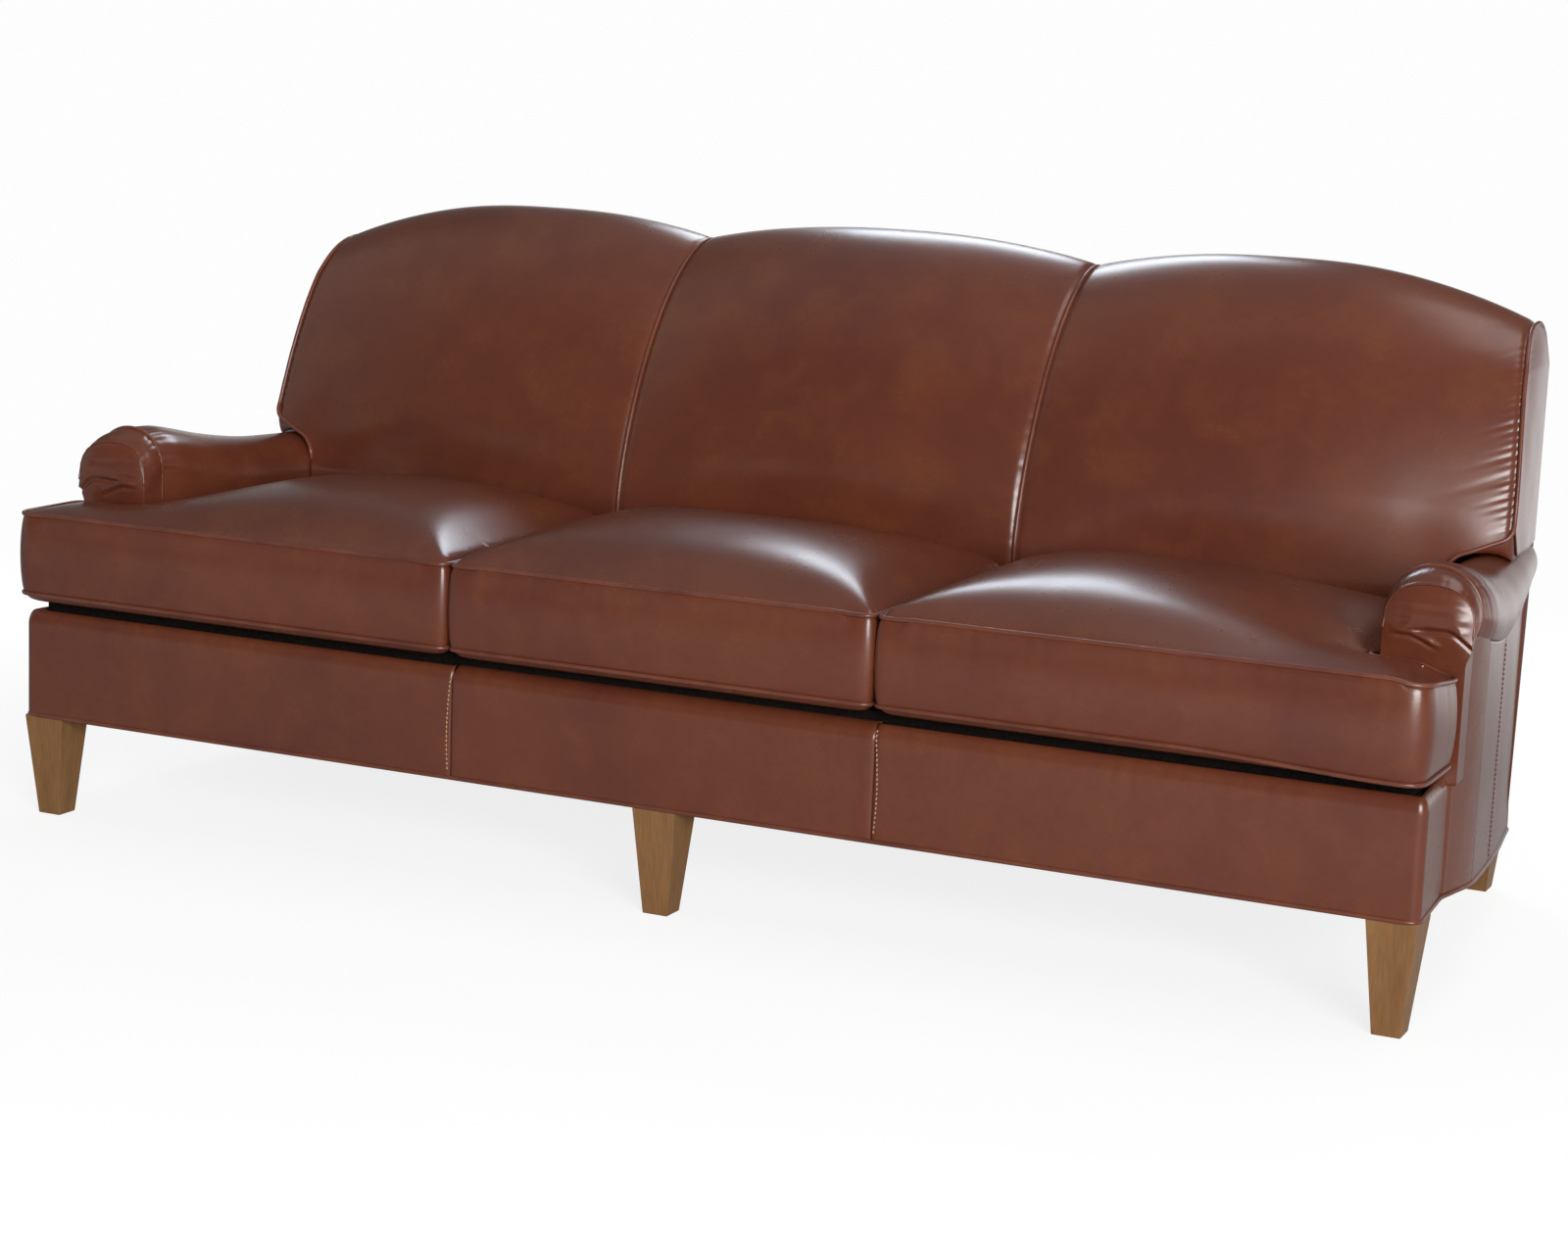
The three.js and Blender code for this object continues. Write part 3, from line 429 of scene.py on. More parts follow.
def wood(name, pale, dark, roughness, coat=0.0, upright=True):
    # fibres as noise drawn out along the grain, with slow bands of darker growth
    material, tree, place = newMaterial(name)

    def drawnOut(across, along):
        scale = (across, across, along) if upright else (along, across, across)
        return put(tree, "Mapping", {"Vector": place, "Scale": scale}).outputs["Vector"]

    fibres = noise(tree, drawnOut(90, 5), 3.0, 8, 0.62)
    bands = noise(tree, drawnOut(26, 2.2), 1.6, 4, 0.5, 0.6)
    both = put(tree, "Mix", {"Factor": 0.45, "A": fibres, "B": bands}, data_type="FLOAT").outputs["Result"]
    finished(tree, fibres, 0.12, 0.0006, {
        "Base Color": ramp(tree, both, 0.32, dark, 0.68, pale),
        "Roughness": roughness,
        "Coat Weight": coat,
        "Coat Roughness": 0.25,
        "Specular IOR Level": 0.3,
    })
    return material


legWood = wood("satinLegWood", (0.255, 0.128, 0.049), (0.155, 0.072, 0.025), 0.42, coat=0.03)
frameWood = wood("bareFrameWood", (0.5, 0.34, 0.17), (0.34, 0.21, 0.1), 0.7, upright=False)


def plain(name, colour, roughness, fleckScale, fleckAmount, metallic=0.0, bump=0.3, gloss=0.5):
    # one colour varied by fine noise, which also raises the surface
    material, tree, place = newMaterial(name)
    fleck = noise(tree, place, fleckScale, 5)
    dark, pale = (tuple(min(c * share, 1) for c in colour) for share in (1 - fleckAmount, 1 + fleckAmount))
    finished(tree, fleck, bump, 0.0006, {
        "Base Color": ramp(tree, fleck, 0.35, dark, 0.65, pale),
        "Roughness": roughness,
        "Metallic": metallic,
        "Specular IOR Level": gloss,
    })
    return material
thread = plain("tanThread", (0.42, 0.27, 0.15), 0.6, 900, 0.2)
darkThread = plain("brownThread", (0.13, 0.045, 0.025), 0.6, 900, 0.2)
steel = plain("springSteel", (0.5, 0.51, 0.52), 0.35, 300, 0.15, metallic=1.0)
foam = plain("paleFoam", (0.8, 0.7, 0.47), 0.95, 420, 0.12, bump=0.6)
# deck cloth: near-black with little gloss, painted shade so the gap under the seat cushions reads as shadow
deckShadeCloth = plain("deckClothPaintedShade", (0.006, 0.0042, 0.0035), 0.95, 260, 0.35, bump=0.7, gloss=0.08)
lining = plain("blackLining", (0.02, 0.019, 0.018), 0.95, 500, 0.3, bump=0.5)
print("materials made")


# ---- seat cushions

cushion = {
    "spacing": 0.0085,
    "lowWelt": 0.3539,
    "highWelt": 0.4755,
    "weltRadius": 0.0033,
    "crown": 0.074,
    "crownReach": 0.22,
    "domeReach": 0.255,
    "domeShare": 0.7,
    "fallShare": 0.7,
    "fallStart": 0.56,
    "earSag": 0.0045,
    "cornerSag": 0.014,
    "armDip": 0.013,
    "lowSag": 0.011,
    "tuck": 0.0022,
    "bow": 0.006,
    "boxingRows": 15,
    "pressure": 2.2,
    "ease": -0.002,
    "frames": 20,
    "cap": 0.01,
    "evenRounds": 14,
    "coreEnd": 0.106,
}


def roundedLoop(corners, step):
    # corners (x, y, radius) of a closed outline, each rounded by a quadratic curve, with points at even steps
    corners = np.array(corners, float)
    spots = corners[:, :2]
    t = np.linspace(0, 1, 9)[:, None]
    loop = []
    for before, here, after, r in zip(np.roll(spots, 1, 0), spots, np.roll(spots, -1, 0), corners[:, 2]):
        before, after = unit(before - here), unit(after - here)
        reach = r / math.tan(math.acos(float(np.clip(before @ after, -1, 1))) / 2)
        a, b = here + before * reach, here + after * reach
        loop.append((1 - t) ** 2 * a + 2 * t * (1 - t) * here + t**2 * b)
    loop = np.concatenate(loop + [loop[0][:1]])
    return evenPath(np.c_[loop, np.zeros(len(loop))], step)[:-1, :2]


def nearness(loop, x, y):
    # smoothed distance to the outline: the cube root of one over the summed inverse fourth powers
    after = np.roll(loop, -1, 0)
    middle, lengths = (loop + after) / 2, np.linalg.norm(after - loop, axis=1)
    total = np.zeros(len(x))
    for (mx, my), l in zip(middle[::2], lengths[::2] * 2):
        total += l / np.maximum(np.hypot(mx - x, my - y), 1e-4) ** 4
    return np.cbrt(np.pi / 2 / total)


def sagAt(x, y):
    # how far the ear of a worn cushion hangs: over its whole width, more at its outer rear corner,
    # and in a hollow beside the arm
    wide = smooth((np.abs(x) - 0.84) / 0.25)
    corner = smooth((np.abs(x) - 1.035) / 0.055) * smooth((y + 0.02) / 0.16)
    edge = 0.9705 - 0.04 * (y - 0.1395)
    beside = smooth((np.abs(x) - edge + 0.04) / 0.035) * smooth((y - 0.16) / 0.07)
    return cushion["earSag"] * wide + cushion["cornerSag"] * corner + cushion["armDip"] * beside


def crownAt(loop, x, y, sag):
    # over the distance to the outline, a quarter circle and a parabola mixed, lower towards the ends
    near = nearness(loop, x, y)
    shoulder = np.sqrt(1 - (1 - np.clip(near / cushion["crownReach"], 0, 1)) ** 2)
    dome = 1 - (1 - np.clip(near / cushion["domeReach"], 0, 1)) ** 2
    fall = smooth((np.abs(x) - cushion["fallStart"]) / (halfLength - cushion["fallStart"]))
    height = cushion["crown"] * (1 - cushion["fallShare"] * fall)
    return cushion["highWelt"] - sag * sagAt(x, y) + height * mix(shoulder, dome, cushion["domeShare"])


def filled(loop, spacing):
    # triangles over the outline: its own points, and a staggered lattice inside
    low, high = loop.min(0), loop.max(0)
    across = np.arange(low[0], high[0], spacing)
    up = np.arange(low[1], high[1], spacing * math.sqrt(3) / 2)
    x, y = np.meshgrid(across, up)
    x = x + (np.arange(len(up)) % 2)[:, None] * spacing / 2
    points = np.stack([x.ravel(), y.ravel()], -1)
    x, y = points.T
    inside = np.zeros(len(points), bool)
    for (ax, ay), (bx, by) in zip(loop, np.roll(loop, -1, 0)):
        crosses = (ay > y) != (by > y)
        inside ^= crosses & (x < (bx - ax) * (y - ay) / (by - ay + 1e-15) + ax)
    away = np.min(np.hypot(x[:, None] - loop[:, 0], y[:, None] - loop[:, 1]), axis=1)
    every = np.concatenate([loop, points[inside & (away > spacing * 0.62)]])
    edges = [(i, (i + 1) % len(loop)) for i in range(len(loop))]
    made = geometry.delaunay_2d_cdt([Vector(p) for p in every.tolist()], edges, [], 1, 1e-7)
    return every, np.array(made[2])


def cushionShape(corners, sag):
    # top and underside over one outline, and the boxing between them, bowed out and drawn in at the welts
    rim = roundedLoop(corners, cushion["spacing"])
    flat, tris = filled(rim, cushion["spacing"])
    n, m, rows = len(rim), len(flat), cushion["boxingRows"]
    x, y = flat.T
    top = np.c_[flat, crownAt(rim, x, y, sag)]
    high = cushion["highWelt"] - sag * sagAt(*rim.T)
    low = cushion["lowWelt"] - sag * cushion["lowSag"] * smooth((np.abs(x) - 0.75) / 0.33)
    top[:n, 2] = high
    rounded = np.sqrt(1 - (1 - np.clip(nearness(rim, x, y) / 0.035, 0, 1)) ** 2)
    under = np.c_[flat, mix(low, seatFoot, rounded)]
    under[:n, 2] = low[:n]
    along = unit(np.roll(rim, -1, 0) - np.roll(rim, 1, 0))
    out = np.stack([along[:, 1], -along[:, 0]], -1)
    t = np.linspace(0, 1, rows + 2)[1:-1, None]
    reach = np.arange(n)[None] * cushion["spacing"]
    tucks = gathers(reach, t * 0.12, 0.026, 0.036, cushion["tuck"], 21) * smooth(t / 0.1)
    sides = rim + out * (cushion["bow"] * np.sin(np.pi * t) ** 0.6 + tucks)[..., None]
    boxing = np.concatenate([sides, mix(high, low[:n], t)[..., None]], -1)
    points = np.concatenate([top, boxing.reshape(-1, 3), under])
    edge = np.arange(n)
    rings = np.stack([edge, *(m + np.arange(rows * n)).reshape(rows, n), m + rows * n + edge])
    a, b = rings[:-1], rings[1:]
    quads = np.stack([a, b, np.roll(b, -1, 1), np.roll(a, -1, 1)], -1).reshape(-1, 4)
    if np.cross(flat[tris[:, 1]] - flat[tris[:, 0]], flat[tris[:, 2]] - flat[tris[:, 0]]).sum() < 0:
        tris = tris[:, ::-1]
    return points, [quads, tris, tris[:, ::-1] + m + rows * n], rings


def placesOf(mesh):
    places = np.zeros(len(mesh.vertices) * 3)
    mesh.vertices.foreach_get("co", places)
    return places.reshape(-1, 3)


def puffed(piece, rest, held):
    # blown up a little as cloth with the welt lines held, the movement capped, then evened out over the mesh
    group = piece.vertex_groups.new(name="held")
    group.add(np.flatnonzero(held).tolist(), 1.0, "REPLACE")
    cloth = piece.modifiers.new("cloth", "CLOTH")
    settings = cloth.settings
    settings.quality = 6
    settings.mass = 0.4
    settings.tension_stiffness = 18
    settings.compression_stiffness = 8
    settings.shear_stiffness = 6
    settings.bending_stiffness = 1.2
    settings.use_pressure = True
    settings.uniform_pressure_force = cushion["pressure"]
    settings.shrink_min = cushion["ease"]
    settings.vertex_group_mass = "held"
    settings.pin_stiffness = 2
    settings.effector_weights.gravity = 0
    cloth.collision_settings.use_collision = False
    cloth.point_cache.frame_start, cloth.point_cache.frame_end = 1, cushion["frames"]
    scene = bpy.context.scene
    for step in range(cushion["frames"]):
        scene.frame_set(step + 1)
    shaped = piece.evaluated_get(bpy.context.evaluated_depsgraph_get())
    shift = placesOf(shaped.data) - rest
    piece.modifiers.remove(cloth)
    piece.vertex_groups.clear()
    scene.frame_set(1)
    length = np.linalg.norm(shift, axis=1, keepdims=True)
    shift *= np.minimum(1, cushion["cap"] / np.maximum(length, 1e-9))
    ends = np.zeros(len(piece.data.edges) * 2, int)
    piece.data.edges.foreach_get("vertices", ends)
    a, b = ends.reshape(-1, 2).T
    count = np.maximum(np.bincount(ends, minlength=len(rest)), 1)[:, None]
    for _ in range(cushion["evenRounds"]):
        total = np.zeros_like(shift)
        np.add.at(total, a, shift[b])
        np.add.at(total, b, shift[a])
        shift = mix(shift, total / count, 0.6 * ~held[:, None])
    return rest + shift


def seatCushion(side, corners, sag=0.0, turned=False):
    # one cushion with its two welts; the cover stays above the foam, and on the deck
    name, bodyName, node = f"seat_cushion_{side}", f"cushion_{side}", f"cushion_casing_{side}"
    points, faces, rings = cushionShape(corners, sag)
    if turned:
        points, faces = mirroredPart(points, faces)
    piece = makePiece(name, points, faces, cognac, bodyName, [node], "leather")
    rest = placesOf(piece.data)
    held = rest[:, 2] < seatFoot + 0.0015
    held[rings[[0, -1]]] = True
    rest = puffed(piece, rest, held)
    rest[:, 2] = np.maximum(rest[:, 2], seatFoot)
    low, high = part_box(node.replace("casing", "core"))
    x, y, z = rest.T
    over = (z > 0.46) & (x > low.x) & (x < high.x) & (y < cushion["coreEnd"])
    over &= (np.abs(x) < 0.932) | (y - railFront < 0.101)
    rest[over, 2] = np.maximum(rest[over, 2], high.z + 0.0012)
    piece.data.vertices.foreach_set("co", rest.ravel())
    piece.data.update()
    finer = piece.modifiers.new("finer", "SUBSURF")
    finer.levels = finer.render_levels = 1
    welts = []
    for ring, lift in ((rings[0], 0.0008), (rings[-1], -0.0004)):
        line = softened(rest[ring], 2, closed=True) - [0, railFront, 0]
        line += unit((line - line.mean(0)) * [1, 1, 0]) * 0.0018 + [0, 0, lift]
        welts.append(tube(line, cushion["weltRadius"], (0, 0, 1), closed=True))
    makePiece(name + "_welts", *joined(welts), cognacWelt, bodyName, slot="leather")
    print("cushion", side, "made")


half, front, back = valleyX - 0.0012 - 0.0035, -0.0197, 0.491
inner, ear = valleyX + 0.0012 + 0.0035, 1.0942
centreCorners = [(-half, front, 0.009), (half, front, 0.009), (half, back, 0.03), (-half, back, 0.03)]
outerCorners = [
    (inner, front, 0.009),
    (ear, front, 0.03),
    (ear, 0.1395, 0.014),
    (0.9705, 0.1395, 0.012),
    (0.9535, 0.5688, 0.03),
    (inner, back, 0.03),
]
seatCushion("centre", centreCorners)
seatCushion("right", outerCorners, sag=1.0)
seatCushion("left", [(x + 0.0055 * (x > 1), y, r) for x, y, r in outerCorners], turned=True)


# ---- back: three humps

back = {
    "rows": 200,
    "lowerRows": 44,
    "columns": 150,
    "low": 0.526,
    "lip": 0.07,
    "weltRadius": 0.0029,
    "endPucker": 0.0024,
    "valleyPucker": 0.0007,
    "undulation": 0.0012,
}


def rearOfPad(z):
    return mix(0.62, 0.8057, (z - 0.3379) / (0.802 - 0.3379))


def wingSeatAt(x):
    # height of the roll under the wing
    y = np.linspace(endY, 0.85, 9)[:, None]
    inner, outer, r, middle, z = rollAt(y)
    return np.max(z + np.sqrt(np.maximum(r**2 - (np.asarray(x)[None] - middle) ** 2, 0)), 0) + 0.0022


def backSections(outer, seed):
    # each column runs up the face, over the top and down the lip, then back inside; over the arm it starts
    # at the rear, runs forward along the roll and turns up to the low edge
    columns, rows, lower = back["columns"], back["rows"], back["lowerRows"]
    armX, foot = 0.9606, deckTop + 0.0003
    s = np.linspace(0, 1, columns)
    s = mix(s, smooth(s), 0.35)
    if outer:
        start = valleyX + lineGap
        edge = lambda y, z: wingAt(y, z) - 0.0032
        stop = (armX - start) / (edge(endY, wingZ) - start)
        s = np.sort(np.append(s[np.abs(s - stop) > 0.004], [stop - 0.0002, stop + 0.0014]))
        columns = len(s)
        s = s[:, None]
        atX = lambda y, z: mix(start, edge(y, z), s)
        x0 = atX(endY, wingZ)
        overArm = x0 > armX
        over = np.clip((x0 - 0.9615) / (edge(endY, wingZ) - 0.9615), 0, 1)
        rising = wingSeatAt(x0[:, 0])[:, None]
        corner = 0.01 * smooth((over - 0.92) / 0.08) ** 2
        low = np.maximum(rising + 0.004, 0.5785 - 0.055 * (1 - over**0.55)) + corner
        low = np.where(overArm, low, back["low"])
        rearLow = np.where(overArm, rising, foot)
        across, top = s, topAt(atX(ridgeY, endZ))
    else:
        s = s[:, None]
        atX = lambda y, z: mix(lineGap - valleyX, valleyX - lineGap, s) + 0 * z
        overArm = np.zeros_like(s, bool)
        low, rearLow = np.full_like(s, back["low"]), np.full_like(s, foot)
        rising = low
        across, top = 0 * s, topAt(atX(0, 0))
    bow = 2 * s - 1
    t = np.linspace(0, 1, lower)[None, :-1]
    zFace = mix(foot, low, t)
    yFront = faceAt(across, bow, low, top)
    along = np.clip(t / 0.55, 0, 1)
    up = np.clip((t - 0.55) / 0.45, 0, 1)
    bend = np.pi / 2 * up
    yUnder = mix(rearOfPad(rising), yFront + 0.016, along) - 0.018 * np.sin(bend) + 0.002 * smooth(up)
    zUnder = rising + (low - rising) * (1 - np.cos(bend))
    yLow = np.where(overArm, yUnder, faceAt(across, bow, zFace, top))
    zLow = np.where(overArm, zUnder, zFace)
    z = mix(low, top, 1 - (1 - np.linspace(0, 1, rows)[None]) ** 1.7)
    y = faceAt(across, bow, z, top)
    turn = np.pi / 2 * np.linspace(0, 1, 26)[None, 1:]
    yOver = ridgeY + 0.06 * np.sin(turn) + 0 * top
    zOver = top - 0.04 * (1 - np.cos(turn))
    drop = np.linspace(0, 1, 9)[None, 1:]
    zLip = mix(top - 0.04, top - back["lip"], drop)
    yAll = np.concatenate([yLow, y, yOver, rearY + 0 * zLip], 1)
    zAll = np.concatenate([zLow, z, zOver, zLip], 1)
    grid = xyz(atX(yAll, zAll), yAll, zAll)
    normals = surfaceNormals(grid)
    if normals[columns // 2, rows // 2 + lower, 1] > 0:
        normals = -normals
    left = grid[..., 0] - grid[:1, :, 0]
    right = grid[-1:, :, 0] - grid[..., 0]
    shift = -0.0042 * (bell(left, 0.0065) + bell(right, 0.0065))
    shift += back["undulation"] * field(grid[..., 0], zAll, 0.2, seed)
    if outer:
        lowBand, highBand = bell(zAll - 0.64, 0.075), bell(zAll - 0.82, 0.08)
        slant = zAll + 0.35 * right
        for spacing, reach, k, even, inLow, inHigh in (
            (0.0115, 0.024, 3, 0.25, 0.8, 0.5),
            (0.034, 0.05, 9, 0.05, 0.5, 0.15),
        ):
            puckers = gathers(slant, right, spacing, reach, back["endPucker"], seed + k)
            shift += puckers * (even + inLow * lowBand + inHigh * highBand)
        shift += gathers(zAll, left, 0.022, 0.035, back["valleyPucker"], seed + 4)
        shift -= 0.003 * bell(grid[..., 0] - 0.93, 0.05) * bell(zAll - 0.56, 0.08)
    else:
        for away, k in ((left, 5), (right, 6)):
            shift += gathers(zAll, away, 0.022, 0.035, back["valleyPucker"], seed + k)
    inward = np.minimum(smooth(left / 0.004), smooth(right / 0.004))
    fromArm = smooth((np.arange(grid.shape[1]) - lower + 2) / 5)
    shift = shift * mix(0.5, 1, inward) * np.where(overArm, fromArm, 1)
    grid = grid + normals * shift[..., None]
    inner = [
        (0.846, top - back["lip"]),
        (0.846, top - 0.034),
        (0.8174, top - 0.034),
        (0.8057, 0.802 + 0 * top),
        (rearOfPad(rearLow) + 0.0006, rearLow + 0.0006),
    ]
    yIn = np.concatenate([a + 0 * top for a, _ in inner], 1)
    zIn = np.concatenate([b for _, b in inner], 1)
    return grid, np.concatenate([grid, xyz(atX(yIn, zIn), yIn, zIn)], 1)


faceC, padC = backSections(False, 31)
pads = [makePiece("back_hump_centre", *closedLoft(padC), cognac, "frame", ["back_pad_centre"], "leather")]
faceR, padR = backSections(True, 41)
pads += bothSides("back_hump", closedLoft(padR), cognac, ["back_pad"], "leather")


def welt(name, path, facing, radius, seed):
    # a cord with slight swelling along it, tapered to its ends
    step = 0.004
    path = softened(evenPath(path, step), 4)
    swell = 1 + 0.05 * ripple(np.arange(len(path)) * step, 0.03, seed)
    swell[[0, -1]] *= 0.3
    swell[[1, -2]] *= 0.85
    bothSides(name, tube(path, radius * swell, facing), cognacWelt, slot="leather")


valleyLine = faceR[0] * [0, 1, 1] + [valleyX, -0.0006, 0]
welt("valley_welt", valleyLine, (1, 0, 0), back["weltRadius"], 3)
print("back humps made")


# ---- end panels and end welts of the back

endPanelTop = 0.8744


def endPanel():
    # levels from the roll to the top, each a strip from the end welt to the rear edge, slightly full
    z = mix(wingZ, endPanelTop - 0.0009, 1 - (1 - np.linspace(0, 0.985, 90)) ** 1.6)
    low = float(wingSeatAt(np.array([1.046]))[0])
    z = np.concatenate([np.linspace(low, 0.584, 8), z])[:, None]
    y0 = faceAt(1, 1, np.maximum(z, wingZ), endPanelTop) + np.maximum(wingZ - z, 0) + 0.004
    fall = np.clip((endPanelTop - z) / 0.04, 0, 1)
    y1 = np.minimum(ridgeY + 0.06 * np.sqrt(1 - (1 - fall) ** 2), coverY)
    t = np.linspace(0, 1, 44)[None]
    y = mix(y0, y1, t)
    z = z + 0 * t
    x = wingAt(y, z)
    high = smooth((0.875 - z) / 0.05)
    full = 0.0032 * np.sin(np.pi * t) ** 1.3 * high
    wave = 0.0009 * field(y, z, 0.09, 7) * smooth(t / 0.15) * smooth((1 - t) / 0.15)
    darts = gathers(z, y - y0, 0.013, 0.022, 0.0016, 17) * smooth(t / 0.06) * high
    darts *= 0.35 + bell(z - 0.83, 0.035)
    return np.concatenate([xyz(x + full + wave + darts, y, z), xyz(x - 0.0028, y, z)[:, ::-1]], 1)


bothSides("end_boxing", closedLoft(endPanel()), cognac, ["end_panel"], "leather")
lowRow = back["lowerRows"] - 1
overArm = faceR[:, lowRow, 0] > 0.9612
roll = np.linspace(1.35, 0.15, 8)
endLine = np.concatenate([
    xyz(endTopX - 0.001, ridgeY + 0.06 * np.sin(roll), endPanelTop - 0.04 * (1 - np.cos(roll))),
    faceR[-1, lowRow : lowRow + back["rows"] - 2][::-1] + [0.0012, -0.0004, 0],
    (faceR[overArm, lowRow][::-1] + [0, -0.0008, -0.0004])[1:],
    [(0.9604, 0.589, 0.5), (0.9603, 0.588, 0.45), (0.9603, 0.588, 0.39)],
])
welt("end_welt", endLine, unit(np.array([0.35, -1, 0.25])), 0.0034, 5)
print("back ends made")


# ---- arms

arm = {"columns": 260, "angles": 100, "creaseDepth": 0.0013, "weltRadius": 0.003, "drawn": 0.0065}


def armRoll():
    # circle from the outside seam over the top to the inside, then straight down to the deck
    t = np.linspace(0, 1, arm["columns"])[:, None]
    y = rimY + 0.6541 * mix(t, t**1.5, 0.6)
    inner, outer, r, middle, z = rollAt(y)
    seam = z - 0.028
    turn = mix(-np.arcsin(0.0277 / r), np.pi, np.linspace(0, 1, arm["angles"])[None])
    down = np.linspace(0, 1, 30)[None, 1:]
    x = np.concatenate([middle + r * np.cos(turn), inner + 0 * down], 1)
    up = np.concatenate([z + r * np.sin(turn), mix(z, deckTop + 0.0003, down)], 1)
    grid = xyz(x, y, up)
    normals = surfaceNormals(grid)
    if normals[5, arm["angles"] // 2, 2] < 0:
        normals = -normals
    along = np.cumsum(np.linalg.norm(np.diff(grid, axis=1, prepend=grid[:, :1]), axis=-1), 1)
    away = grid[..., 1] - rimY
    inside = smooth((along - 0.19) / 0.05)
    shift = gathers(along, away, 0.014, 0.055, arm["creaseDepth"] * 1.6, 61) * mix(0.55, 1, inside)
    shift += gathers(along + 0.006, away, 0.03, 0.12, arm["creaseDepth"], 62)
    shift += 0.0012 * field(grid[..., 1], along, 0.13, 63)
    shift -= arm["drawn"] * bell(away, 0.03) + 0.0015 * bell(away, 0.006)
    rng = np.random.default_rng(66)
    for level in 0.207 + 0.0125 * np.arange(13):
        line = y - level - 0.005 * np.sin(along * rng.uniform(10, 24) + rng.uniform(0, 6))
        window = bell(along - rng.uniform(0.04, 0.13), rng.uniform(0.025, 0.06))
        shift -= 0.0009 * rng.uniform(0.3, 1) * bell(line, 0.0025) * window
    grid = grid + normals * (shift * smooth((up - deckTop) / 0.03))[..., None]
    slot = 0.0203
    chain = [
        (inner + 0.014, deckTop + 0.0003 + 0 * y),
        (inner + 0.014, seam),
        (middle - slot, z - 0.026),
        (middle - slot, z - 0.0017),
        (middle + slot, z - 0.0017),
        (middle + slot, seam + 0.0003),
    ]
    return np.concatenate([grid] + [xyz(a, y, b) for a, b in chain], 1)


for pad in bothSides("arm_roll", closedLoft(armRoll()), cognac, ["arm_pad"], "leather"):
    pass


def welded(points, faces):
    # points in one place become one, and faces that close up are left out
    points, index = np.unique(np.round(points, 6), axis=0, return_inverse=True)
    kept = []
    for group in faces:
        group = index.ravel()[group]
        if group.shape[1] == 4:
            closing = (group == np.roll(group, -1, 1)).any(1)
            rows = [list(dict.fromkeys(row)) for row in group[closing].tolist()]
            kept += [np.array([row]) for row in rows if len(row) == 3]
            group = group[~closing]
        kept.append(group)
    return points, kept


facing = {
    "inner": 0.99,
    "outer": 1.1085,
    "top": 0.5715,
    "low": 0.3123,
    "rise": 0.051,
    "front": 0.1505,
    "fold": 0.513,
    "foldDepth": 0.006,
    "rows": 150,
    "columns": 90,
    "bandRows": 26,
    "arch": 2.4,
}


def faceEdges(z):
    # sides of the front face: upright below, and above it an arch where width and height to the power 2.4
    # sum to one
    f = facing
    lift = np.clip((z - f["top"] + f["rise"]) / f["rise"], 0, 1)
    width = (1 - lift ** f["arch"]) ** (1 / f["arch"])
    middle, reach = (f["inner"] + f["outer"]) / 2, (f["outer"] - f["inner"]) / 2
    left = middle - reach * width + 0.003 * smooth((z - 0.5) / 0.05) * width - 0.003
    return left, middle + reach * width - 0.008 * smooth((0.5 - z) / 0.03)


def frontFace(tuckDepth):
    # the face: domed towards its edge, with a fold across it, creases at its inner side and a slight wave
    f, arch = facing, facing["arch"]
    spring = f["top"] - f["rise"]
    v = np.linspace(0, 1, f["rows"])[:, None]
    risen = np.sin(np.pi / 2 * np.clip((v - 0.7) / 0.3, 0, 1) * 0.994)
    z = np.where(v < 0.7, mix(f["low"], spring, v / 0.7), spring + f["rise"] * risen)
    left, right = faceEdges(z)
    u = np.linspace(0, 1, f["columns"])[None]
    x = mix(left, right, mix(u, smooth(u), 0.6))
    z = z + 0 * x
    # level of the arch, 1 on its edge, gives the distance from the edge
    lift = np.clip((z - spring) / f["rise"], 0, 1) ** arch
    across = np.abs(2 * (x - left) / (right - left) - 1) * (1 - lift) ** (1 / arch)
    side = 2 * (1 - (across**arch + lift) ** (1 / arch))
    domed = 0.007 * (1 - (1 - np.clip(side, 0, 1)) ** 2) * smooth((z - 0.47) / 0.05)
    upper = f["fold"] + 0.004 * np.sin(np.clip((x - 1.02) / 0.09, 0, 1) * np.pi)
    upper -= 0.022 * smooth((x - 1.075) / 0.045)
    lower = f["fold"] - 0.005 - 0.016 * smooth((x - 1.02) / 0.05)
    fall = smooth((z - upper) / 0.004) * np.exp(-np.maximum(z - upper, 0) / 0.025)
    fold = -f["foldDepth"] * fall * smooth((x - 1.01) / 0.02)
    fold += 0.0028 * bell(z - upper + 0.003, 0.003) * smooth((x - 1.02) / 0.03)
    strand = smooth((1.07 - x) / 0.02) * smooth((x - 0.995) / 0.02)
    fold -= 0.0035 * bell(z - lower - 0.004, 0.0045) * strand
    fold += 0.003 * bell(z - lower + 0.003, 0.0025) * strand
    lines = np.zeros_like(x)
    for k, level in enumerate((0.5235, 0.535, 0.548, 0.5565, 0.565)):
        depth = 0.6 + 0.4 * np.sin(2.3 * k + 1)
        middle = 1.018 + 0.006 * np.sin(5.1 * k)
        lines += depth * bell(z - level - 0.05 * (x - 1.04), 0.0022) * bell(x - middle, 0.026)
    wave = 0.0004 * np.sin(z * 2 * np.pi / 0.017 + 14 * x) * smooth((z - 0.51) / 0.01)
    y = f["front"] - domed + fold + (tuckDepth * lines + wave) * smooth(side * 2)
    return xyz(x, np.maximum(y + 0.0005 * field(x, z, 0.07, 72), 0.1405), z)


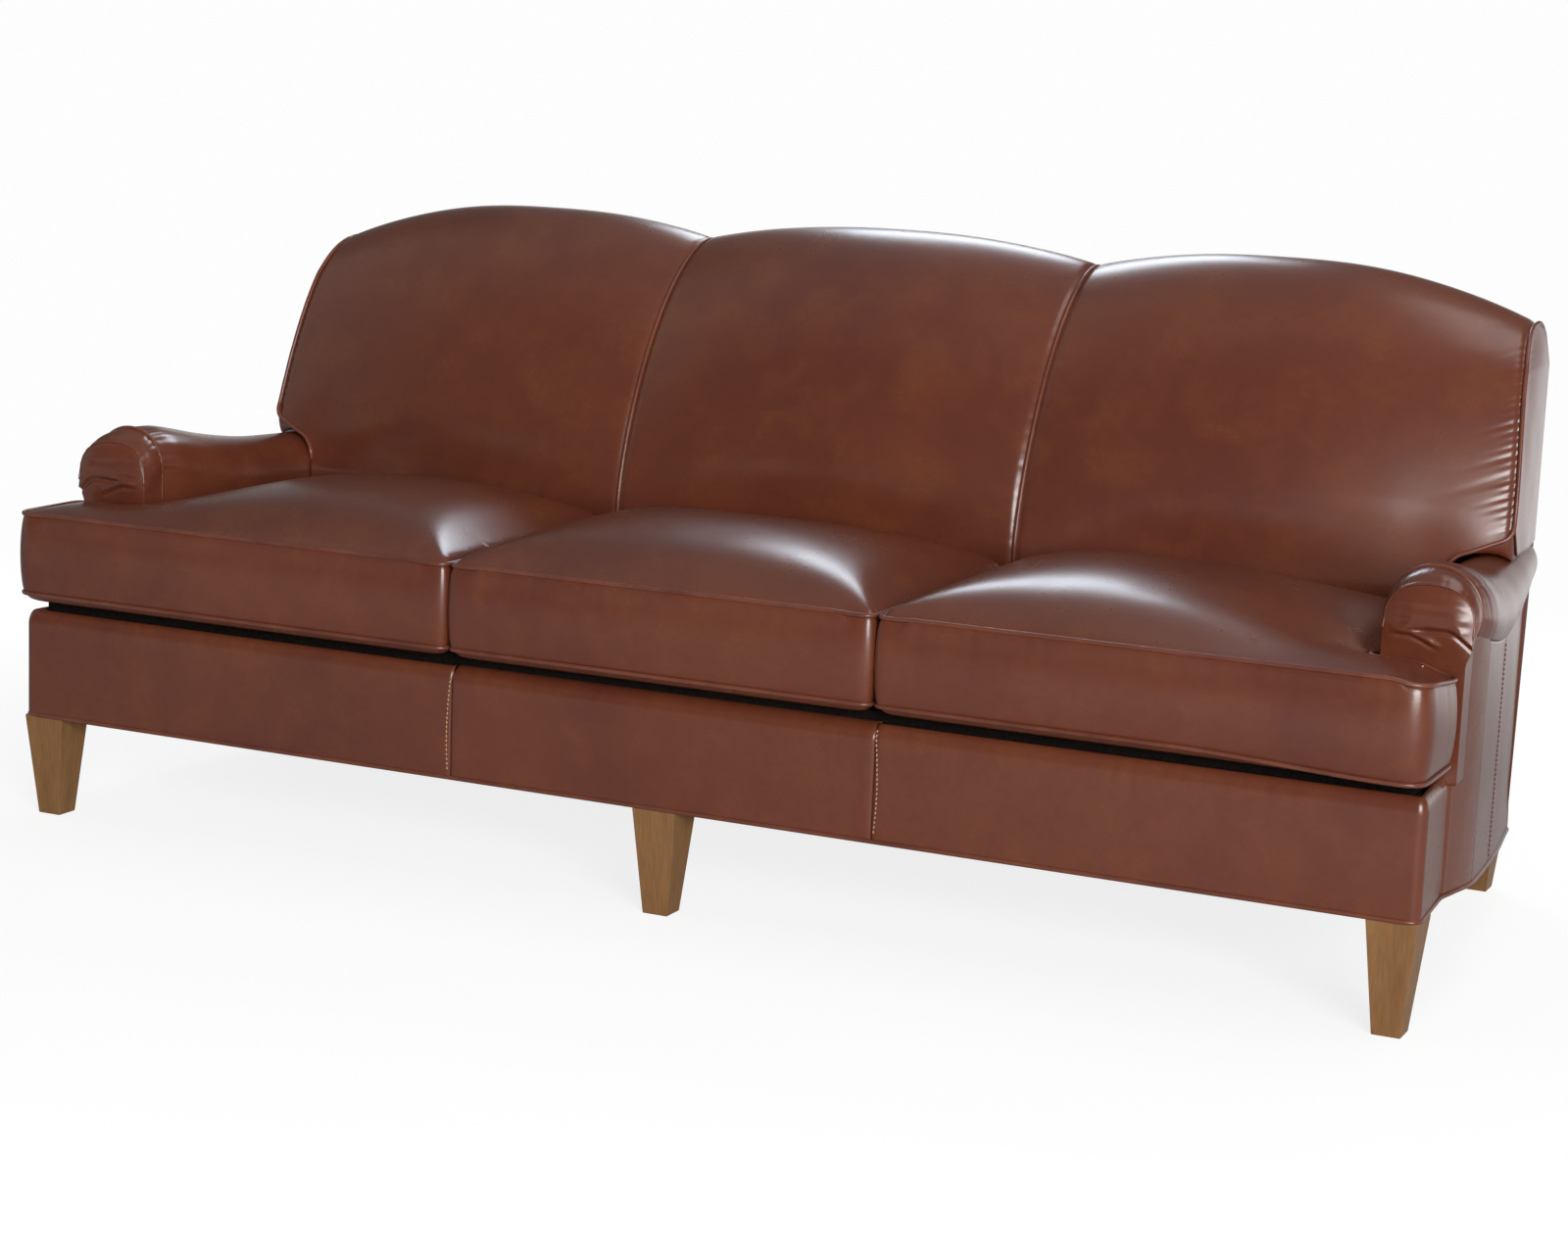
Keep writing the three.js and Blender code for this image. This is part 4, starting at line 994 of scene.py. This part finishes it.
def armFront(tuckDepth):
    # the face, and a band with a lip, a groove and creases that rounds it back to the rim of the roll
    face = frontFace(tuckDepth)
    rows, columns = face.shape[:2]
    loop = np.concatenate([face[:, 0], face[-1, 1:-1], face[::-1, -1]])
    x, _, z = loop.T
    y = 0.195
    inner, outer, r, middle, centre = (float(a) for a in rollAt(y))
    inner, outer, r = inner + arm["drawn"], outer - arm["drawn"], r - arm["drawn"]
    # the rim at the roll has one point for each point of the face's edge
    turn = np.arctan2(z - 0.52, (x - 1.051) * 0.82)
    beside = np.where(x < middle, inner, mix(float(sideAt(y)), outer, smooth((z - 0.485) / 0.035)))
    below = mix(facing["low"], centre, np.clip((z - facing["low"]) / (0.52 - facing["low"]), 0, 1))
    rimX = np.where(z > 0.52, middle + r * np.cos(turn), beside)
    rim = xyz(rimX, y + 0.0002, np.where(z > 0.52, centre + r * np.sin(turn), below))
    t = np.linspace(0, 1, facing["bandRows"])[:, None]
    out = unit((loop - [1.051, 0.15, 0.5]) * [1, 0, 1] + [0, -1e-3, 0])
    out[z < 0.5] = unit(out[z < 0.5] * [1, 1, 0.001])
    bulge = 0.0055 * np.sin(np.pi * t) * smooth((z - 0.49) / 0.04)
    band = mix(loop, rim, t[..., None]) + bulge[..., None] * unit(out + [0, -0.8, 0])
    count = np.cumsum(np.linalg.norm(np.diff(loop, axis=0, prepend=loop[:1]), axis=1)) + 0 * t
    crease = gathers(count, t * 0.04, 0.014, 0.02, 0.0012, 74)
    crease += gathers(count, (1 - t) * 0.04, 0.012, 0.015, 0.001, 75)
    crease[[0, -1]] = 0
    band += (crease * smooth((z - 0.5) / 0.03))[..., None] * out
    groove = 0.0034 * bell(t, 0.05) * smooth((z - 0.505) / 0.02)
    groove -= 0.0038 * bell(t - 0.1, 0.055) * smooth((z - 0.515) / 0.02)
    band[..., 1] += groove
    face[:, 0, 1] += groove[0, :rows]
    face[:, -1, 1] += groove[0, ::-1][:rows]
    face[-1, 1:-1, 1] += groove[0, rows:-rows]
    n, m = rows * columns, len(loop)
    starts = n + m * np.arange(len(t))
    underside = np.concatenate([starts, (starts + m - 1)[::-1], np.arange(1, columns - 1)[::-1]])
    ends = [starts[-1] + np.arange(m)[None], underside[None]]
    faces = [gridFaces(rows, columns), gridFaces(len(t), m) + n, *ends]
    points, faces = welded(np.concatenate([face.reshape(-1, 3), band.reshape(-1, 3)]), faces)
    return points, outward(points, faces), band[0]


def strip():
    # narrow panel that turns from the front to the side, from the hem to the arm's outside seam
    corner, top = 0.164, 0.5065
    turn = np.linspace(0, np.pi / 2, 12)[:-1]
    y = np.linspace(corner, stripY, 36)
    x = np.concatenate([float(sideAt(corner)) - 0.012 * (1 - np.sin(turn)), sideAt(y)])[:, None]
    y = np.concatenate([corner - 0.0125 * np.cos(turn), y])[:, None]
    z = mix(hemAt(y), top, np.linspace(0, 1, 60)[None])
    outside = xyz(x + 0.0006 * field(y, z, 0.08, 81) + 0.0003, y, z)
    inside = np.minimum(sideAt(y) - 0.012, x - 0.001), np.maximum(y, 0.1535)
    return np.concatenate([outside, xyz(*inside, top), xyz(*inside, hemAt(y))], 1)


stripPart = closedLoft(strip())
for side, tuckDepth in (("right", 0.0003), ("left", 0.0016)):
    points, faces, faceLoop = armFront(tuckDepth)
    part = joined([(points, faces), stripPart])
    if side == "left":
        part = mirroredPart(*part)
    made = makePiece(f"arm_front_{side}", *part, cognac, "frame", [f"arm_facing_{side}"], "leather")


def rimWelt():
    # up the inside of the arm and round the rim of its roll
    y = 0.1945
    inner, outer, r, middle, z = (float(a) for a in rollAt(y))
    turn = np.linspace(np.pi, -0.42, 90)
    r += 0.0004 - arm["drawn"]
    over = xyz(middle + r * np.cos(turn), y, z + r * np.sin(turn))
    line = np.concatenate([[[inner + arm["drawn"], y, 0.4]], over])
    line[:, 0] += 0.0022 * smooth((1.004 - line[:, 0]) / 0.012)
    return line


welt("arm_rim_welt", rimWelt(), (0, 1, 0), arm["weltRadius"], 8)
welt("arm_face_welt", faceLoop[faceLoop[:, 2] > 0.508] - [0, 0.0018, 0], (0, 1, 0), 0.0016, 9)


def outsideArm():
    # side of the arm from the strip to the rear, under the roll, with a seam drawn in half way
    start, seam = stripY + 0.0003, 0.45
    y = np.linspace(start, coverY, 150)[:, None]
    top = rollAt(y)[4] - 0.028
    z = mix(hemAt(y), top, np.linspace(0, 1, 70)[None])
    x = sideAt(y) - 0.0016 * bell(y - seam, 0.004) - 0.0015 * bell(y - start, 0.004) - drawnIn(y, z)
    x += 0.0011 * field(y, z, 0.16, 91) * smooth((y - stripY) / 0.03)
    inside = sideAt(y) - 0.01
    return np.concatenate([xyz(x, y, z), xyz(inside, y, top), xyz(inside, y, hemAt(y))], 1)


bothSides("outside_arm_panel", closedLoft(outsideArm()), cognac, ["outside_arm"], "leather")
seamZ = np.array([float(hemAt(0.45)) + 0.006, float(rollAt(0.45)[4]) - 0.034])
seamLine = xyz(float(sideAt(0.4535)) + 0.0004, 0.4535, seamZ)
bothSides("side_seam_stitching", stitches(seamLine, (1, 0, 0)), darkThread)
print("arms made")


# ---- front rail

rail = {"top": 0.324, "round": 0.024, "corner": 0.014, "rows": 60, "inside": 0.012, "ledge": 0.3123}


def railPiece(px, py, dx, dy, wrap, seed, ends):
    # outer face from the hem, a quarter circle at the top, and back down inside, carried along the path
    # px, py with its inward direction dx, dy
    px, py, dx, dy = (a[:, None] for a in (px, py, dx, dy))
    turn = np.pi / 2 * np.linspace(0, 1, 22)[1:]
    inward, ledge, spring = rail["inside"], rail["ledge"], rail["top"] - rail["round"]
    over = min(rail["round"], wrap) * (1 - np.cos(turn))
    depth = np.concatenate([np.zeros(rail["rows"]), over, [wrap, wrap, inward, inward]])
    z = np.concatenate([np.linspace(hemZ, spring, rail["rows"]), spring + rail["round"] * np.sin(turn)])
    sections = xyz(px + dx * depth, py + dy * depth, np.append(z, [rail["top"] - 0.0003, ledge, ledge, hemZ]))
    steps = np.hypot(np.diff(px, axis=0, prepend=px[:1]), np.diff(py, axis=0, prepend=py[:1]))
    reach = np.cumsum(steps)[:, None]
    shift = 0.0011 * field(reach, z, 0.22, seed) * smooth((z - hemZ) / 0.02)
    shift += gathers(reach, np.clip(rail["top"] - z, 0, 0.1), 0.03, 0.05, 0.0008, seed + 1)
    for end in ends:
        away = np.abs(reach - end * reach[-1])
        shift += 0.0005 * bell(away - 0.012, 0.009) - 0.0016 * bell(away, 0.003)
    sections[:, :-4] -= xyz(dx, dy, 0) * shift[..., None]
    return closedLoft(sections)


px = np.linspace(lineGap - valleyX, valleyX - lineGap, 180)
centre = railPiece(px, 0 * px, 0 * px, 1 + 0 * px, 0.026, 101, (0, 1))
makePiece("rail_front_centre", *centre, cognac, "frame", ["rail_cover_centre"], "leather")
turn = np.linspace(0, np.pi / 2, 16)
roundEnd = halfLength - rail["corner"] * (1 - np.sin(turn)), rail["corner"] * (1 - np.cos(turn))
across = np.linspace(valleyX + lineGap, halfLength - rail["corner"], 190)[:-1]
beside = np.linspace(rail["corner"], frontY - 0.0003, 50)[1:]
px = np.concatenate([across, roundEnd[0], np.linspace(halfLength, float(sideAt(beside[-1])), 50)[1:]])
py = np.concatenate([0 * across, roundEnd[1], beside])
dx = np.concatenate([0 * across, -np.sin(turn), -1 + 0 * beside])
dy = np.concatenate([1 + 0 * across, np.cos(turn), 0 * beside])
bothSides("rail_front", railPiece(px, py, dx, dy, 0.0123, 111, (0,)), cognac, ["rail_cover"], "leather")
bend = np.linspace(0, 1.2, 8)[1:]
seamZ = np.concatenate([np.linspace(hemZ + 0.008, 0.3, 30), 0.3 + rail["round"] * np.sin(bend)])
seamY = np.concatenate([np.zeros(30), rail["round"] * (1 - np.cos(bend))]) - 0.0002
seamX = valleyX + 0.0032 + 0.0035 * np.sin((seamZ - 0.16) / 0.16 * np.pi * 1.2)
bothSides("rail_seam_stitching", stitches(xyz(seamX, seamY, seamZ), (0, -1, 0)), thread)
print("front rail made")


# ---- hem welt, outside back

beside, y = np.linspace(0.02, 0.15, 30), np.linspace(0.16, 0.856, 120)
hemLine = np.concatenate([
    xyz(np.linspace(0, halfLength - rail["corner"], 260), 0, hemZ),
    xyz(*roundEnd, hemZ),
    xyz(sideAt(beside), beside, hemZ),
    xyz(sideAt(y) - drawnIn(y, hemAt(y)), y, hemAt(y)),
    xyz(np.linspace(1.022, 0, 120), rearY - 0.0005, hemAt(rearY)),
])
hemLine = np.concatenate([hemLine[:-1], (hemLine * [-1, 1, 1])[:0:-1], hemLine[:1]])
hemLine = softened(evenPath(hemLine, 0.006)[:-1], 3, closed=True) + [0, 0, 0.001]
makePiece("hem_welt", *tube(hemLine, 0.0034, (0, 0, 1), closed=True), cognacWelt, "frame", slot="leather")


def outsideBack():
    # panel across the rear, from the hem to the lip of the humps
    half, inside, low = 1.0309, rearY - 0.01, hemAt(rearY)
    x = np.linspace(-half, half, 260)[:, None]
    top = topAt(x) - 0.0709
    z = mix(low, top, np.linspace(0, 1, 110)[None])
    y = rearY + 0.0014 * field(x, z, 0.35, 121) * smooth((1.03 - np.abs(x)) / 0.05)
    x = x - x / half * drawnIn(inside, z)
    return np.concatenate([xyz(x, y, z), xyz(x[:, -1:], inside, top), xyz(x[:, :1], inside, low)], 1)


makePiece("outside_back_panel", *closedLoft(outsideBack()), cognac, "frame", ["outside_back"], "leather")
print("outside back made")


# ---- CAD solids that stay, with their materials

# the deck pad gets the near-black cloth, painted shade for the gap under the cushions
looks = {"_leg_": legWood, "spring": steel, "core": foam, "deck_pad": deckShadeCloth, "dust_cover": lining}
looks.update(dict.fromkeys(("rail", "post", "block", "stretcher", "upright"), frameWood))
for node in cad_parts:
    found = [looks[word] for word in looks if word in node and "rail_cover" not in node]
    if found:
        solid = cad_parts[node]
        solid.data.materials.clear()
        solid.data.materials.append(found[0])
    if "_leg_" in node:
        weld = solid.modifiers.new("weld", "WELD")
        weld.merge_threshold = 0.0001
        eased = solid.modifiers.new("eased", "BEVEL")
        eased.width, eased.segments, eased.limit_method = 0.0014, 2, "ANGLE"


# ---- camera, floor and lights

camera = {
    "place": (2.018365, -3.995727, 1.246055),
    "yaw": 0.4288187,
    "pitch": 0.1807319,
    "roll": 0.0413422,
    "focal": 3308.068,
}


def addCamera():
    yaw, pitch, roll = camera["yaw"], camera["pitch"], camera["roll"]
    right = Vector((math.cos(yaw), math.sin(yaw), 0))
    ahead = Vector((-math.sin(yaw) * math.cos(pitch), math.cos(yaw) * math.cos(pitch), -math.sin(pitch)))
    up = right.cross(ahead)
    turnedRight = right * math.cos(roll) + up * math.sin(roll)
    turnedUp = up * math.cos(roll) - right * math.sin(roll)
    held = bpy.data.cameras.new("camera")
    held.sensor_width = 36
    held.sensor_fit = "HORIZONTAL"
    held.lens = 36 * camera["focal"] / 1600
    held.clip_end = 100
    made = bpy.data.objects.new("camera", held)
    turning = Matrix((turnedRight, turnedUp, -ahead)).transposed().to_4x4()
    x, y, z = camera["place"]
    made.matrix_world = Matrix.Translation((x, y + railFront, z)) @ turning
    bpy.context.scene.collection.objects.link(made)
    bpy.context.scene.camera = made


addCamera()


def areaLight(name, place, target, size, power, colour=(1, 1, 1)):
    lamp = bpy.data.lights.new(name, "AREA")
    lamp.shape = "RECTANGLE"
    lamp.size, lamp.size_y = size
    lamp.energy = power
    lamp.color = colour
    made = bpy.data.objects.new(name, lamp)
    made.location = place
    made.rotation_euler = (Vector(target) - Vector(place)).to_track_quat("-Z", "Y").to_euler()
    bpy.context.scene.collection.objects.link(made)


areaLight("key", (7.9, -9.8, 3.5), (0.1, -0.2, 0.45), (6.4, 4.6), 1850)
areaLight("overheadRight", (1.5, 0.4, 2.8), (0.5, 0, 0.7), (1.3, 1.1), 10)
areaLight("rearPanel", (-0.82, 2.6, 2.68), (0.1, -0.25, 0.5), (1.1, 0.85), 26, (0.8, 0.9, 1))


def product(tree, *factors):
    made = factors[0]
    for factor in factors[1:]:
        made = sums(tree, "MULTIPLY", made, factor)
    return made


def floorMaterial():
    # for the camera the shadow is kept near the sofa and fades to plain white further off;
    # for gloss it is white behind
    material, tree, place = newMaterial("paleFloor")
    seen = put(tree, "LightPath").outputs
    reach = put(tree, "VectorMath", {0: place}, operation="LENGTH").outputs["Value"]
    sides = put(tree, "SeparateXYZ", {"Vector": place}).outputs

    def over(ray, share, strength, under):
        # glow laid over a shader by a share, for one kind of ray
        glow = put(tree, "Emission", {"Strength": strength}).outputs["Emission"]
        share = product(tree, seen[ray], share)
        return put(tree, "MixShader", {0: share, 1: under, 2: glow}).outputs["Shader"]

    def run(value, low, high, to0, to1):
        return ranged(tree, value, low, high, to0, to1, interpolation_type="SMOOTHSTEP")

    surface = put(tree, "BsdfDiffuse", {"Color": (0.6, 0.6, 0.6, 1)}).outputs["BSDF"]
    further, white = run(reach, 1.3, 3.2, 0.6, 1.0), run(reach, 1.3, 3.2, 1.37, 0.985)
    surface = over("Is Camera Ray", further, white, surface)
    nearer, brighter = run(sides["Y"], -1.9, -1.0, 1.0, 0.0), run(sides["X"], -0.8, 1.2, 0.5, 0.95)
    surface = over("Is Glossy Ray", nearer, brighter, surface)
    surface = over("Is Glossy Ray", run(sides["Y"], 1.2, 4.0, 0.0, 1.0), 1.2, surface)
    put(tree, "OutputMaterial", {"Surface": surface})
    return material


floorMesh = bpy.data.meshes.new("floor")
floorMesh.from_pydata([(-30, -30, 0), (30, -30, 0), (30, 30, 0), (-30, 30, 0)], [], [(0, 1, 2, 3)])
floorMesh.materials.append(floorMaterial())
floor = bpy.data.objects.new("floor", floorMesh)
bpy.context.scene.collection.objects.link(floor)


def addWorld():
    # white where the camera sees it; for light and gloss a low backdrop, patches behind and at the left,
    # and a dim room
    world = bpy.data.worlds.new("studio")
    bpy.context.scene.world = world
    world.use_nodes = True
    tree = world.node_tree
    tree.nodes.clear()
    sides = put(tree, "SeparateXYZ", {"Vector": put(tree, "TexCoord").outputs["Generated"]}).outputs

    def run(axis, low, high, to0, to1):
        return ranged(tree, sides[axis], low, high, to0, to1, interpolation_type="SMOOTHSTEP")

    notLeft = run("X", -0.62, -0.45, 0.1, 1.0)
    parts = (
        product(tree, run("Y", -0.1, 0.55, 0.0, 0.6), run("Z", 0.05, 0.22, 1.0, 0.0), notLeft),
        product(tree, run("Y", -0.1, 0.55, 0.0, 1.1), run("Z", 0.16, 0.42, 1.0, 0.1), notLeft,
                run("X", -0.33, -0.15, 1.0, 0.25)),
        product(tree, run("X", -0.8, -0.3, 0.42, 0.0), run("Y", -0.6, -0.3, 0.0, 1.0),
                run("Y", 0.05, 0.3, 1.0, 0.0)),
        run("Z", 0.72, 0.92, 0.0, 0.3),
    )
    level = 0.17
    for part in parts:
        level = sums(tree, "ADD", level, part)
    room = put(tree, "Background", {"Strength": level}).outputs["Background"]
    white = put(tree, "Background", {"Color": (1, 1, 1, 1), "Strength": 0.985}).outputs["Background"]
    isSeen = put(tree, "LightPath").outputs["Is Camera Ray"]
    shown = put(tree, "MixShader", {0: isSeen, 1: room, 2: white}).outputs["Shader"]
    put(tree, "OutputWorld", {"Surface": shown})


addWorld()
bpy.context.scene.view_settings.view_transform = "Standard"
print("camera and lights set")
